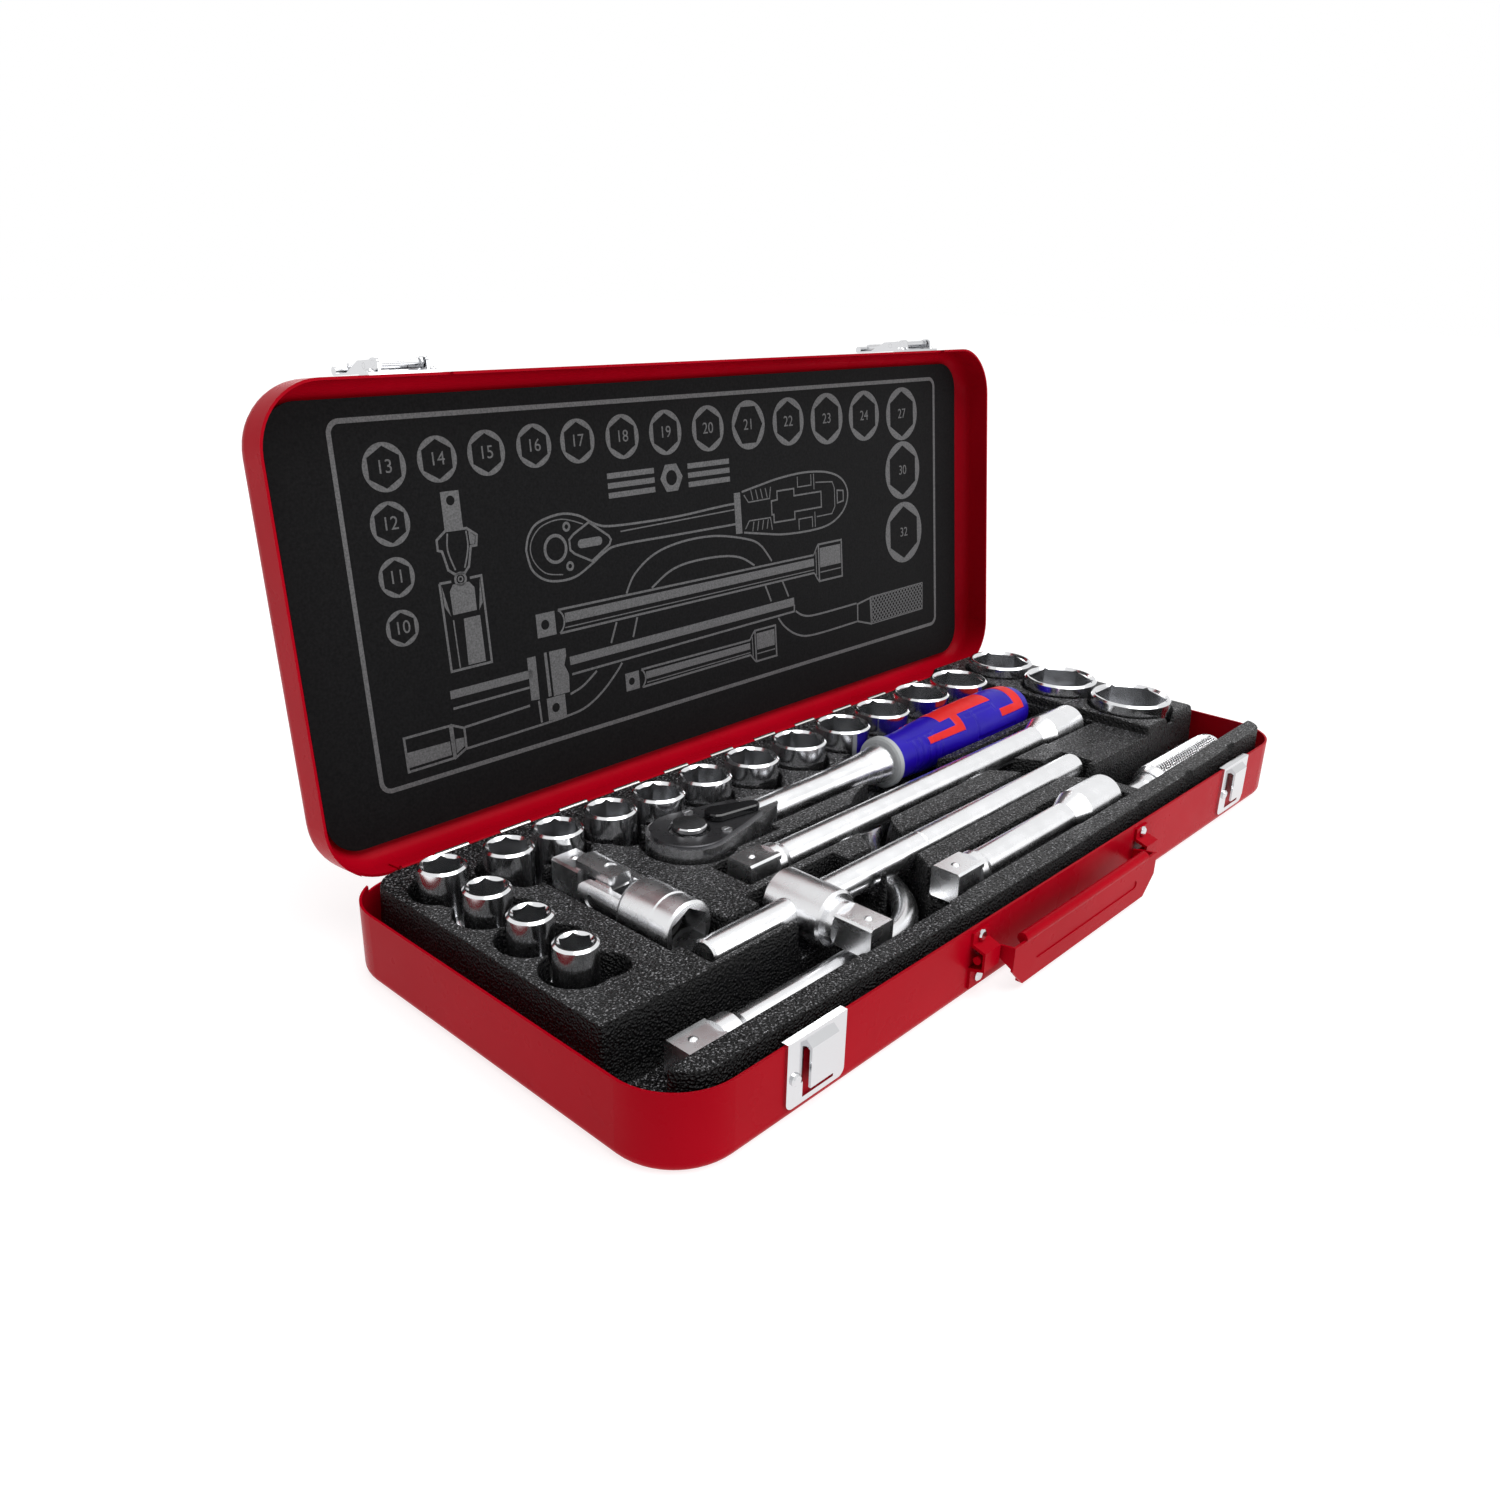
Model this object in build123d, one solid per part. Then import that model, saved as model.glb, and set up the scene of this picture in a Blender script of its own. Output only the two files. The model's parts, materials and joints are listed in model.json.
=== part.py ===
from build123d import *
import math
import os

# Socket wrench set in a hinged sheet-metal case, lid open, millimetres.
# Frame: origin at the centre of the base pan's underside, +X along the case's length,
# -Y towards the latches and the carrying handle, +Z up.

# ---- driving dimensions ----
CASE_L = 435.0
CASE_W = 182.0
BASE_H = 28.5
LID_D = 20.5
SHEET = 1.0
CORNER_R = 25.0
BASE_FILLET = 4.0
LID_FILLET = 9.0
SEAM = 0.3
LID_ANGLE = 96.0
HINGE_Y = CASE_W / 2 - 1.5
HINGE_Z = BASE_H
KNUCKLE_R = 1.5
KNUCKLE_BORE = 0.7
HINGE_PIN_R = 0.65
KNUCKLE_PITCH = 15.2
KNUCKLES = 25
BACK_RECESS = 2.5
LATCH_X = 157.0
LATCH_PIVOT_Y = -CASE_W / 2 - 4.0
LATCH_PIVOT_Z = 36.5
CLAW_ARM = 9.0
HANDLE_X0, HANDLE_X1 = -66.0, 59.0
HANDLE_Y = -94.3
HANDLE_Z = 17.0
TRAY_TOP = 31.0
TRAY_HIGH = 35.4
TROUGH_Y = -75.0
HIGH_BLOCK_X = 155.0
TRAY_WALL = 1.2
TRAY_X = 206.5
TRAY_BACK = 86.5
TRAY_FRONT = -86.0
SQUARE = 12.7
SOCKET_FLOOR = 3.2
SOCKET_H = 38.0
FIT = 0.05
RIVET_R, LATCH_RIVET_R = 2.2, 1.9
RIVET_H = 1.2

# socket size: (x, y, hex-end diameter)
SOCKETS = {
    10: (-189.5, -15.5, 15.6), 11: (-188.5, 10.0, 16.4), 12: (-188.0, 35.5, 17.4),
    13: (-189.5, 61.0, 18.2), 14: (-163.0, 57.0, 19.4), 15: (-139.5, 57.0, 20.4),
    16: (-113.0, 56.5, 21.6), 17: (-87.5, 55.5, 22.6), 18: (-60.0, 55.5, 23.6),
    19: (-30.0, 55.5, 24.6), 20: (2.0, 55.0, 25.6), 21: (34.0, 54.5, 26.6),
    22: (66.0, 55.0, 27.6), 23: (102.0, 56.5, 29.0), 24: (136.0, 56.0, 30.8),
    27: (183.2, 59.1, 35.9), 30: (180.7, 18.9, 38.9), 32: (180.2, -23.2, 41.0),
}
DRIVE_END_R = 11.0

LONG_EXT = {"x0": -102.0, "length": 250.0, "y": -5.7, "z": 29.0}
SHORT_EXT = {"x0": -51.0, "length": 125.0, "y": -65.0, "z": 29.0}
TBAR = {"x0": -151.0, "length": 249.0, "y": -36.0, "z": 27.4, "r": 6.2}
HEAD_X = -99.0
RATCHET_X, RATCHET_Y, RATCHET_Z = -98.0, 26.0, 30.5
UJOINT_X, UJOINT_Y, UJOINT_Z = -146.0, 17.5, 30.0
BRACE_Y, BRACE_Z, BRACE_R = -60.0, 14.0, 5.2
BRACE_X0, BRACE_BEND_X = -186.0, -80.0
BRACE_BEND_R, BRACE_TOP_R, BRACE_LEG, BRACE_ANGLE = 38.0, 63.0, 24.0, 58.0

parts = {}


# ---- small helpers ----
def box(x0, x1, y0, y1, z0, z1):
    return Pos((x0 + x1) / 2, (y0 + y1) / 2, (z0 + z1) / 2) * Box(x1 - x0, y1 - y0, z1 - z0)


def rod_x(x0, x1, y, z, r):
    return Pos((x0 + x1) / 2, y, z) * Rot(0, 90, 0) * Cylinder(r, x1 - x0)


def rod_y(x, y0, y1, z, r):
    return Pos(x, (y0 + y1) / 2, z) * Rot(90, 0, 0) * Cylinder(r, y1 - y0)


def rod_z(x, y, z0, z1, r):
    return Pos(x, y, (z0 + z1) / 2) * Cylinder(r, z1 - z0)


def turned_x(points, y, z):
    """Solid of revolution about the line through (y, z) along X; points are (x, radius)."""
    outline = Polyline(*[(x, r, 0) for x, r in points], close=True)
    return Pos(0, y, z) * revolve(make_face(outline), Axis.X, 360)


def yz_prism(x0, x1, points):
    """Prism along X whose outline is given as (y, z) points."""
    face = make_face(Polyline(*[(0, y, z) for y, z in points], close=True))
    return Pos(x0, 0, 0) * extrude(face, amount=x1 - x0, dir=(1, 0, 0))


def hexagon_z(x, y, z0, z1, across_flats):
    face = RegularPolygon(across_flats / 2, 6, major_radius=False)
    return Pos(x, y, z0) * extrude(face, amount=z1 - z0)


def group(*solids):
    return Compound(children=list(solids))


def pan(length, width, height, corner, bottom_fillet):
    """Open-topped deep-drawn sheet pan standing on z = 0."""
    outer = extrude(RectangleRounded(length, width, corner), amount=height)
    outer = fillet(outer.faces().sort_by(Axis.Z)[0].edges(), bottom_fillet)
    inner = extrude(RectangleRounded(length - 2 * SHEET, width - 2 * SHEET, corner - SHEET),
                    amount=height)
    inner = fillet(inner.faces().sort_by(Axis.Z)[0].edges(), bottom_fillet - SHEET)
    return outer - Pos(0, 0, SHEET) * inner


def opened(shape):
    """Swings a piece of the closed lid about the hinge to the open position."""
    to_hinge = Pos(0, HINGE_Y, HINGE_Z)
    return to_hinge * Rot(-LID_ANGLE, 0, 0) * to_hinge.inverse() * shape


# ---- case base and lid ----
back_recess = box(-206, 206, 85, 95, BASE_H - BACK_RECESS, BASE_H + 1)
parts["base_pan"] = pan(CASE_L, CASE_W, BASE_H, CORNER_R, BASE_FILLET) - back_recess

LID_TOP = BASE_H + SEAM + LID_D


def make_lid():
    shell = Pos(0, 0, LID_TOP) * Rot(180, 0, 0) * pan(CASE_L, CASE_W, LID_D, CORNER_R, LID_FILLET)
    shell -= box(-206, 206, 85, 95, BASE_H, BASE_H + BACK_RECESS)
    for side in (-1, 1):
        shell -= box(side * LATCH_X - 17.5, side * LATCH_X + 17.5, -95, -85, BASE_H, BASE_H + 2.6)
    return opened(shell)


parts["lid_shell"] = make_lid()
LINER_T, LINER_GLUE = 2.5, 0.35
LINER_L, LINER_W, LINER_R = 417.0, 167.6, 14.0
liner = extrude(RectangleRounded(LINER_L, LINER_W, LINER_R), amount=LINER_T)
liner = chamfer(liner.faces().sort_by(Axis.Z)[-1].edges(), LINER_T - 0.5)
parts["lid_liner"] = opened(Pos(0, 0, LID_TOP - SHEET - LINER_GLUE - LINER_T) * liner)


def hinge_leaf(lid_side):
    """Long hinge leaf with every second knuckle, on the inside of the back wall."""
    half = KNUCKLES * KNUCKLE_PITCH / 2
    inner = CASE_W / 2 - SHEET
    if lid_side:
        leaf = box(-half, half, inner - 0.7, inner, BASE_H + 2.7, BASE_H + 9)
    else:
        leaf = box(-half, half, inner - 0.7, inner, 15, BASE_H - 2.7)
    for i in range(KNUCKLES):
        if (i % 2 == 0) != lid_side:
            continue
        x0 = -half + i * KNUCKLE_PITCH + 0.15
        x1 = x0 + KNUCKLE_PITCH - 0.3
        if lid_side:
            leaf += box(x0, x1, inner - 0.7, inner, BASE_H + 1.0, BASE_H + 2.8)
        else:
            leaf += box(x0, x1, inner - 0.7, inner, BASE_H - 2.8, BASE_H - 1.0)
        leaf += rod_x(x0, x1, HINGE_Y, HINGE_Z, KNUCKLE_R)
    return leaf - rod_x(-half - 1, half + 1, HINGE_Y, HINGE_Z, KNUCKLE_BORE)


parts["base_hinge_leaf"] = hinge_leaf(False)
parts["lid_hinge_leaf"] = opened(hinge_leaf(True))
parts["hinge_pin"] = rod_x(-KNUCKLES * KNUCKLE_PITCH / 2, KNUCKLES * KNUCKLE_PITCH / 2,
                           HINGE_Y, HINGE_Z, HINGE_PIN_R)

# ---- latches: keepers on the base, mount, lever and claw on the lid ----
FRONT = -CASE_W / 2


def rivet_y(x, z, face_y, head_r):
    """Rivet head with a bevelled rim on a plate whose outer face is at face_y."""
    head = Pos(x, face_y - RIVET_H / 2, z) * Rot(90, 0, 0) * Cylinder(head_r, RIVET_H)
    return chamfer(head.edges().group_by(Axis.Y)[0], RIVET_H / 2)


def keeper(x):
    plate = box(x - 14, x + 14, FRONT - 1, FRONT, 5, BASE_H + 0.9)
    plate += box(x - 14, x + 14, FRONT - 1, FRONT + 1.8, BASE_H + 0.1, BASE_H + 0.9)
    plate = fillet(plate.edges().filter_by(Axis.Y).group_by(Axis.Z)[0], 3)
    window = box(x - 6.5, x + 8.5, FRONT - 2, FRONT + 0.5, 7, 24.5)
    tongue = yz_prism(x - 5.5, x + 7.5, [
        (FRONT - 0.1, 27.2), (FRONT - 1.0, 27.6), (FRONT - 3.4, 25.5), (FRONT - 3.4, 11.0),
        (FRONT - 2.5, 11.0), (FRONT - 2.5, 24.5), (FRONT - 0.1, 25.6)])
    return plate - window + tongue


parts["latch_keepers"] = group(keeper(-LATCH_X), keeper(LATCH_X))


def bracket(x):
    """Strap that holds one end of the carrying handle."""
    outer = [(FRONT, 27), (FRONT - 1, 27), (FRONT - 1, 22.5), (FRONT - 6.4, 20.8),
             (FRONT - 6.4, 13.2), (FRONT - 1, 11.5), (FRONT - 1, 4), (FRONT, 4)]
    cavity = [(FRONT + 0.5, 21.6), (FRONT - 5.4, 20.0), (FRONT - 5.4, 14.0), (FRONT + 0.5, 12.4)]
    return yz_prism(x - 5, x + 5, outer) - yz_prism(x - 6, x + 6, cavity)


parts["handle_brackets"] = group(bracket(HANDLE_X0), bracket(HANDLE_X1))
parts["base_rivets"] = group(*[
    rivet_y(x, z, FRONT - 1, RIVET_R) for x, z in (
        (-LATCH_X - 10.2, 15.5), (LATCH_X - 10.2, 15.5), (HANDLE_X0, 24.8), (HANDLE_X0, 8),
        (HANDLE_X1, 24.8), (HANDLE_X1, 8))])


def handle_bail():
    """Folded sheet handle: face plate, rolled top bead, end arms and pivot stubs."""
    middle, half = (HANDLE_X0 + HANDLE_X1) / 2, (HANDLE_X1 - HANDLE_X0) / 2 - 6.5
    plate = box(-half, half, -102.6, -101.6, 2.6, 20.5)
    plate = chamfer(plate.edges().filter_by(Axis.Y).group_by(Axis.Z)[0], 8)
    plate += rod_x(8 - half, half - 8, -100.6, 20.8, 2.2)
    plate += box(8 - half, half - 8, -102.0, -99.6, 2.6, 3.6)
    groove = box(16 - half, half - 16, -104, -102.2, 9.6, 13.4)
    plate -= fillet(groove.edges().filter_by(Axis.Y), 1.8)
    for side in (-1, 1):
        arm = yz_prism(-0.5, 0.5, [(-102.6, 11), (-102.6, 20.5), (-96.5, 19.6),
                                   (-92.4, 18.6), (-92.4, 15.4), (-96.5, 14.4)])
        plate += Pos(side * (half - 0.5), 0, 0) * arm
        inner, outer = sorted((side * (half - 0.5), side * (half + 12)))
        plate += rod_x(inner, outer, HANDLE_Y, HANDLE_Z, 1.5)
    return Pos(middle, 0, 0) * plate


parts["handle_bail"] = handle_bail()


def latch_mount(x):
    plate = box(x - 15, x + 15, FRONT - 1, FRONT, 32, 39)
    for side in (-1, 1):
        ear = box(-0.5, 0.5, FRONT - 6, FRONT, 33.2, 39)
        ear = fillet(ear.edges().filter_by(Axis.X).group_by(Axis.Y)[0], 2)
        plate += Pos(x + side * 10, 0, 0) * ear
    return plate - rod_x(x - 12, x + 12, LATCH_PIVOT_Y, LATCH_PIVOT_Z, 1.22)


def latch_lever(x):
    """Lever drawn open: it points away from the lid's rim along the front wall."""
    top = LATCH_PIVOT_Z + 31
    back_y = LATCH_PIVOT_Y + 2.4
    lever = box(x - 9, x + 9, back_y, back_y + 0.8, LATCH_PIVOT_Z + 3.2, top)
    for side in (-1, 1):
        cheek = yz_prism(-0.4, 0.4, [
            (back_y + 0.8, LATCH_PIVOT_Z + 3.2), (back_y + 0.8, LATCH_PIVOT_Z + 22),
            (back_y, LATCH_PIVOT_Z + 22), (back_y - 3.9, LATCH_PIVOT_Z + 13),
            (back_y - 3.9, LATCH_PIVOT_Z - 1.5), (back_y - 2.4, LATCH_PIVOT_Z - 2.4),
            (back_y - 0.6, LATCH_PIVOT_Z - 1.5)])
        lever += Pos(x + side * 8.6, 0, 0) * cheek
    lever += rod_x(x - 9, x + 9, back_y - 0.9, top, 1.7)
    lever -= rod_x(x - 9.5, x + 9.5, LATCH_PIVOT_Y, LATCH_PIVOT_Z, 1.25)
    return lever - rod_x(x - 9.5, x + 9.5, LATCH_PIVOT_Y + 0.5, LATCH_PIVOT_Z + CLAW_ARM, 1.05)


def latch_claw(x):
    """Hook that reaches under the keeper's tongue; stored flat along the open lever."""
    y0, z0 = LATCH_PIVOT_Y + 0.5, LATCH_PIVOT_Z + CLAW_ARM
    claw = rod_x(x - 8.0, x + 8.0, y0, z0, 1.6) + rod_x(x - 9, x + 9, y0, z0, 1.0)
    claw += box(x - 5, x + 5, y0 - 0.2, y0 + 0.7, z0, z0 + 18.9)
    claw += box(x - 5, x + 5, y0 - 1.5, y0 + 0.7, z0 + 18.0, z0 + 18.9)
    return claw + box(x - 5, x + 5, y0 - 1.5, y0 - 0.8, z0 + 17.2, z0 + 18.9)


parts["latch_mounts"] = opened(group(latch_mount(-LATCH_X), latch_mount(LATCH_X)))
for side, name in ((-1, "left"), (1, "right")):
    parts["latch_lever_" + name] = opened(latch_lever(side * LATCH_X))
    parts["latch_claw_" + name] = opened(latch_claw(side * LATCH_X))
parts["latch_pins"] = opened(group(*[
    rod_x(x - 10.5, x + 10.5, LATCH_PIVOT_Y, LATCH_PIVOT_Z, 1.2) for x in (-LATCH_X, LATCH_X)]))
parts["latch_rivets"] = opened(group(*[
    rivet_y(x + dx, 35.5, FRONT - 1, LATCH_RIVET_R) for x in (-LATCH_X, LATCH_X) for dx in (-12.6, 12.6)]))


# ---- sockets ----
def socket(size, x, y, diameter):
    """Six-point socket standing on its drive end, mouth up."""
    top_r = diameter / 2
    if top_r < DRIVE_END_R:
        points = [(0, 0), (DRIVE_END_R - 0.6, 0), (DRIVE_END_R, 0.6), (DRIVE_END_R, 15.5),
                  (top_r, 20), (top_r, SOCKET_H - 0.9), (top_r - 0.9, SOCKET_H), (0, SOCKET_H)]
    else:
        low_r = max(DRIVE_END_R, top_r - 1.6)
        points = [(0, 0), (low_r - 0.6, 0), (low_r, 0.6), (low_r, 13.5), (top_r, 16),
                  (top_r, SOCKET_H - 1.0), (top_r - 1.0, SOCKET_H), (0, SOCKET_H)]
    face = make_face(Polyline(*[(r, 0, z) for r, z in points], close=True))
    body = revolve(face, Axis.Z, 360)
    body -= Pos(0, 0, 7.5) * Box(SQUARE + 0.1, SQUARE + 0.1, 15)
    body -= rod_z(0, 0, 10, SOCKET_H, min(5.5, size / 2 - 0.6))
    mouth_r = min(size / 2 / math.cos(math.pi / 6), top_r - 1.2)
    depth = 14 + size * 0.25
    hexagon = RegularPolygon((size + 0.2) / 2, 6, major_radius=False)
    body -= Pos(0, 0, SOCKET_H - depth) * extrude(hexagon, amount=depth)
    body -= Pos(0, 0, SOCKET_H - 0.6) * Cone(mouth_r - 0.8, mouth_r + 0.4, 1.2)
    return Pos(x, y, SOCKET_FLOOR) * body


for size, (x, y, diameter) in SOCKETS.items():
    parts["socket_%d" % size] = socket(size, x, y, diameter)


# ---- drive pieces ----
def drive_square_x(x0, x1, y, z):
    """Male square along X with its detent ball on the upper face."""
    across = SQUARE
    square = Pos((x0 + x1) / 2, y, z) * Box(x1 - x0, across, across)
    square = chamfer(square.edges().filter_by(Axis.X), 0.8)
    ball_x = x0 + 6.5
    seat = Pos(ball_x, y, z + across / 2 - 1.2) * Sphere(2.1)
    ball = Pos(ball_x, y, z + across / 2 - 1.2) * Sphere(2.0)
    return square - seat, ball


def extension(x0, length, y, z):
    """Extension bar: male square at the -X end, female socket end at +X."""
    end = x0 + length
    square, ball = drive_square_x(x0, x0 + 17, y, z)
    bar = turned_x([(x0 + 16, 0), (x0 + 16, 7.4), (x0 + 20, 7.4), (x0 + 23, 6.3), (end - 36, 6.3),
                    (end - 27, 9.4), (end - 0.8, 9.4), (end, 8.6), (end, 0)], y, z)
    female = Pos(end - 8, y, z) * Box(18, SQUARE + 0.1, SQUARE + 0.1)
    return group(square + bar - female, ball)


parts["extension_long"] = extension(LONG_EXT["x0"], LONG_EXT["length"], LONG_EXT["y"], LONG_EXT["z"])
parts["extension_short"] = extension(SHORT_EXT["x0"], SHORT_EXT["length"], SHORT_EXT["y"],
                                     SHORT_EXT["z"])

# ---- sliding T-bar ----
bar_x1 = TBAR["x0"] + TBAR["length"]
bar = turned_x([(TBAR["x0"], 0), (TBAR["x0"], 5.4), (TBAR["x0"] + 0.8, TBAR["r"]),
                (-28.5, TBAR["r"]), (-28, 5.9), (-27.5, TBAR["r"]),
                (bar_x1 - 0.8, TBAR["r"]), (bar_x1, 5.4), (bar_x1, 0)], TBAR["y"], TBAR["z"])
parts["tbar_rod"] = bar


def tbar_head():
    """Sliding head: barrel across the bar with the drive square pointing to the front."""
    y, z = TBAR["y"], TBAR["z"]
    barrel = rod_y(HEAD_X, y - 15.5, y + 11.5, z, 11.2)
    barrel = chamfer(barrel.edges(), 1.0)
    neck = rod_y(HEAD_X, y - 19.5, y - 15, z, 8.2)
    square = box(HEAD_X - SQUARE / 2, HEAD_X + SQUARE / 2, y - 36, y - 19,
                 z - SQUARE / 2, z + SQUARE / 2)
    square = chamfer(square.edges().filter_by(Axis.Y), 0.8)
    head = barrel + neck + square
    head -= rod_x(HEAD_X - 15, HEAD_X + 15, y, z, TBAR["r"] + FIT)
    ball_at = Pos(HEAD_X, y - 29.5, z + SQUARE / 2 - 1.2)
    return group(head - ball_at * Sphere(2.1), ball_at * Sphere(2.0))


parts["tbar_head"] = tbar_head()


# ---- speed brace ----
def brace_points():
    """Corner points of the crank's centre line, symmetric about its middle."""
    a = math.radians(BRACE_ANGLE)
    x1 = BRACE_BEND_X + BRACE_BEND_R * math.sin(a)
    y1 = BRACE_Y + BRACE_BEND_R * (1 - math.cos(a))
    x2 = x1 + BRACE_LEG * math.cos(a)
    y2 = y1 + BRACE_LEG * math.sin(a)
    x_mid = x2 + BRACE_TOP_R * math.sin(a)
    return x1, y1, x2, y2, x_mid


def brace_path():
    x1, y1, x2, y2, x_mid = brace_points()
    a = math.radians(BRACE_ANGLE / 2)
    bend = BRACE_BEND_R
    low_x = BRACE_BEND_X + bend * math.sin(a)
    low_y = BRACE_Y + bend * (1 - math.cos(a))
    crown = y2 + BRACE_TOP_R * (1 - math.cos(2 * a))
    start = Line((-158, BRACE_Y), (BRACE_BEND_X, BRACE_Y))
    rise = ThreePointArc((BRACE_BEND_X, BRACE_Y), (low_x, low_y), (x1, y1))
    leg = Line((x1, y1), (x2, y2))
    top = ThreePointArc((x2, y2), (x_mid, crown), (2 * x_mid - x2, y2))
    leg_back = Line((2 * x_mid - x2, y2), (2 * x_mid - x1, y1))
    fall = ThreePointArc((2 * x_mid - x1, y1), (2 * x_mid - low_x, low_y),
                         (2 * x_mid - BRACE_BEND_X, BRACE_Y))
    return Wire([start, rise, leg, top, leg_back, fall]), 2 * x_mid - BRACE_BEND_X


crank, BRACE_X1 = brace_path()
GRIP_X0, GRIP_X1 = 132.0, 203.0
crank_section = Plane((-158, BRACE_Y, 0), z_dir=(1, 0, 0)) * Circle(BRACE_R)
crank_rod = Pos(0, 0, BRACE_Z) * sweep(crank_section, path=crank)
brace_square, brace_ball = drive_square_x(BRACE_X0, BRACE_X0 + 17, BRACE_Y, BRACE_Z)
brace_front = turned_x([(-169.5, 0), (-169.5, 7.6), (-162, 7.6), (-158, BRACE_R), (-157, BRACE_R),
                        (-157, 0)], BRACE_Y, BRACE_Z)
brace_tail = turned_x([(BRACE_X1 - 0.5, 0), (BRACE_X1 - 0.5, BRACE_R), (GRIP_X0 - 5, BRACE_R),
                       (GRIP_X0 - 4, 6.8), (GRIP_X0 - 0.4, 6.8), (GRIP_X0 - 0.4, 4.0),
                       (GRIP_X1 + 4.4, 4.0), (GRIP_X1 + 4.4, 0)], BRACE_Y, BRACE_Z)
parts["brace_shaft"] = group(brace_square + brace_front + crank_rod + brace_tail, brace_ball)
parts["brace_grip"] = turned_x([
    (GRIP_X0, 4.0 + FIT), (GRIP_X0, 7.5), (GRIP_X0 + 4, 9.4), (GRIP_X1 - 2, 9.4),
    (GRIP_X1, 8.0), (GRIP_X1, 4.0 + FIT)], BRACE_Y, BRACE_Z)
parts["brace_end_washer"] = turned_x([
    (GRIP_X1 + 0.4, 4.0), (GRIP_X1 + 0.4, 6.4), (GRIP_X1 + 2.6, 6.4), (GRIP_X1 + 2.6, 4.0)],
    BRACE_Y, BRACE_Z)

# ---- universal joint with spark plug socket ----
UX, UY, UZ = UJOINT_X, UJOINT_Y, UJOINT_Z


def drive_yoke():
    """Fork whose ears lie above and below the cross, with the male square behind."""
    square = box(UX - SQUARE / 2, UX + SQUARE / 2, UY + 12, UY + 27.4, UZ - SQUARE / 2, UZ + SQUARE / 2)
    square = chamfer(square.edges().filter_by(Axis.Y), 0.8)
    fork = rod_y(UX, UY - 7, UY + 14.5, UZ, 10.8) & box(UX - 5, UX + 5, UY - 8, UY + 17, 15, 45)
    fork = fillet(fork.edges().filter_by(Axis.Z).group_by(Axis.Y)[0], 3.0)
    fork -= box(UX - 9, UX + 9, UY - 8, UY + 8.5, UZ - 6.2, UZ + 6.2)
    body = fork + square - rod_z(UX, UY, UZ - 12, UZ + 12, 2.55)
    ball_at = Pos(UX, UY + 21.5, UZ + SQUARE / 2 - 1.2)
    return group(body - ball_at * Sphere(2.1), ball_at * Sphere(2.0))


def joint_cross():
    block = Pos(UX, UY, UZ) * Box(10.4, 10.4, 10.4)
    block = chamfer(block.edges(), 1.2)
    return block + rod_z(UX, UY, UZ - 10.2, UZ + 10.2, 2.5) + rod_x(UX - 10.2, UX + 10.2, UY, UZ, 2.5)


def plug_barrel():
    """Long spark plug socket whose back end is the second fork."""
    mouth = UY - 41
    outer = Pos(UX, 0, UZ) * revolve(make_face(Polyline(
        (0, mouth, 0), (10.6, mouth, 0), (11.5, mouth + 0.9, 0), (11.5, mouth + 8, 0),
        (11.0, mouth + 8.4, 0), (11.0, mouth + 9.4, 0), (11.5, mouth + 9.8, 0),
        (11.5, UY - 16.4, 0), (10.8, UY - 15, 0), (10.8, UY + 7, 0), (0, UY + 7, 0), close=True)),
        Axis.Y, 360)
    cut = box(UX - 12, UX + 12, UY - 14.9, UY + 8, UZ - 12, UZ + 12)
    ears = box(UX - 10.8, UX - 6.2, UY - 15.4, UY + 7, UZ - 5.8, UZ + 5.8)
    ears += box(UX + 6.2, UX + 10.8, UY - 15.4, UY + 7, UZ - 5.8, UZ + 5.8)
    ears = fillet(ears.edges().filter_by(Axis.X).group_by(Axis.Y)[-1], 3.0)
    barrel = outer - cut + (ears & outer)
    hexagon = RegularPolygon(8.1, 6, major_radius=False)
    bore = extrude(Plane((UX, mouth, UZ), z_dir=(0, 1, 0)) * hexagon, amount=24)
    return barrel - bore - rod_x(UX - 12, UX + 12, UY, UZ, 2.55)


parts["joint_drive_yoke"] = drive_yoke()
parts["joint_cross"] = joint_cross()
parts["spark_plug_socket"] = plug_barrel()
parts["plug_grip_insert"] = rod_y(UX, UY - 30, UY - 20, UZ, 7.6) - rod_y(UX, UY - 31, UY - 19, UZ, 5.4)

# ---- ratchet handle ----
RX, RY, RZ = RATCHET_X, RATCHET_Y, RATCHET_Z
HEAD_Z0, HEAD_Z1 = 23.0, 35.8


def disc(x, r):
    return Pos(x, RY) * Circle(r)


def head_face(shrink=0.0):
    front = make_hull(disc(RX, 17.5 - shrink).edges() + disc(RX + 18, 13.5 - shrink).edges())
    back = make_hull(disc(RX + 18, 13.5 - shrink).edges() + disc(RX + 42, 7.4 - shrink).edges())
    return front + back


PAWL_X = RX + 15.5
LEVER_SWING, PAWL_SWING = 32.0, 6.4


def ratchet_body():
    head = Pos(0, 0, HEAD_Z0) * extrude(head_face(), amount=HEAD_Z1 - HEAD_Z0)
    head = chamfer(head.faces().sort_by(Axis.Z)[0].edges(), 1.2)
    shank = turned_x([(RX + 36, 0), (RX + 36, 6.4), (RX + 55, 6.6), (RX + 85, 6.6), (RX + 112, 7.8),
                      (RX + 124.6, 9.4), (RX + 124.6, 5.0), (RX + 215, 5.0), (RX + 215, 0)], RY, RZ)
    body = head + shank
    body -= rod_z(RX, RY, 24.5, 40, 11.8)
    body -= rod_z(RX, RY, 20, 26, 9.2)
    body -= box(RX + 8, RX + 21, RY - 7.5, RY + 7.5, 26.5, 40)
    for dy in (-11.3, 11.3):
        body -= rod_z(RX + 10, RY + dy, 29, 40, 1.25)
    return body


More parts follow.
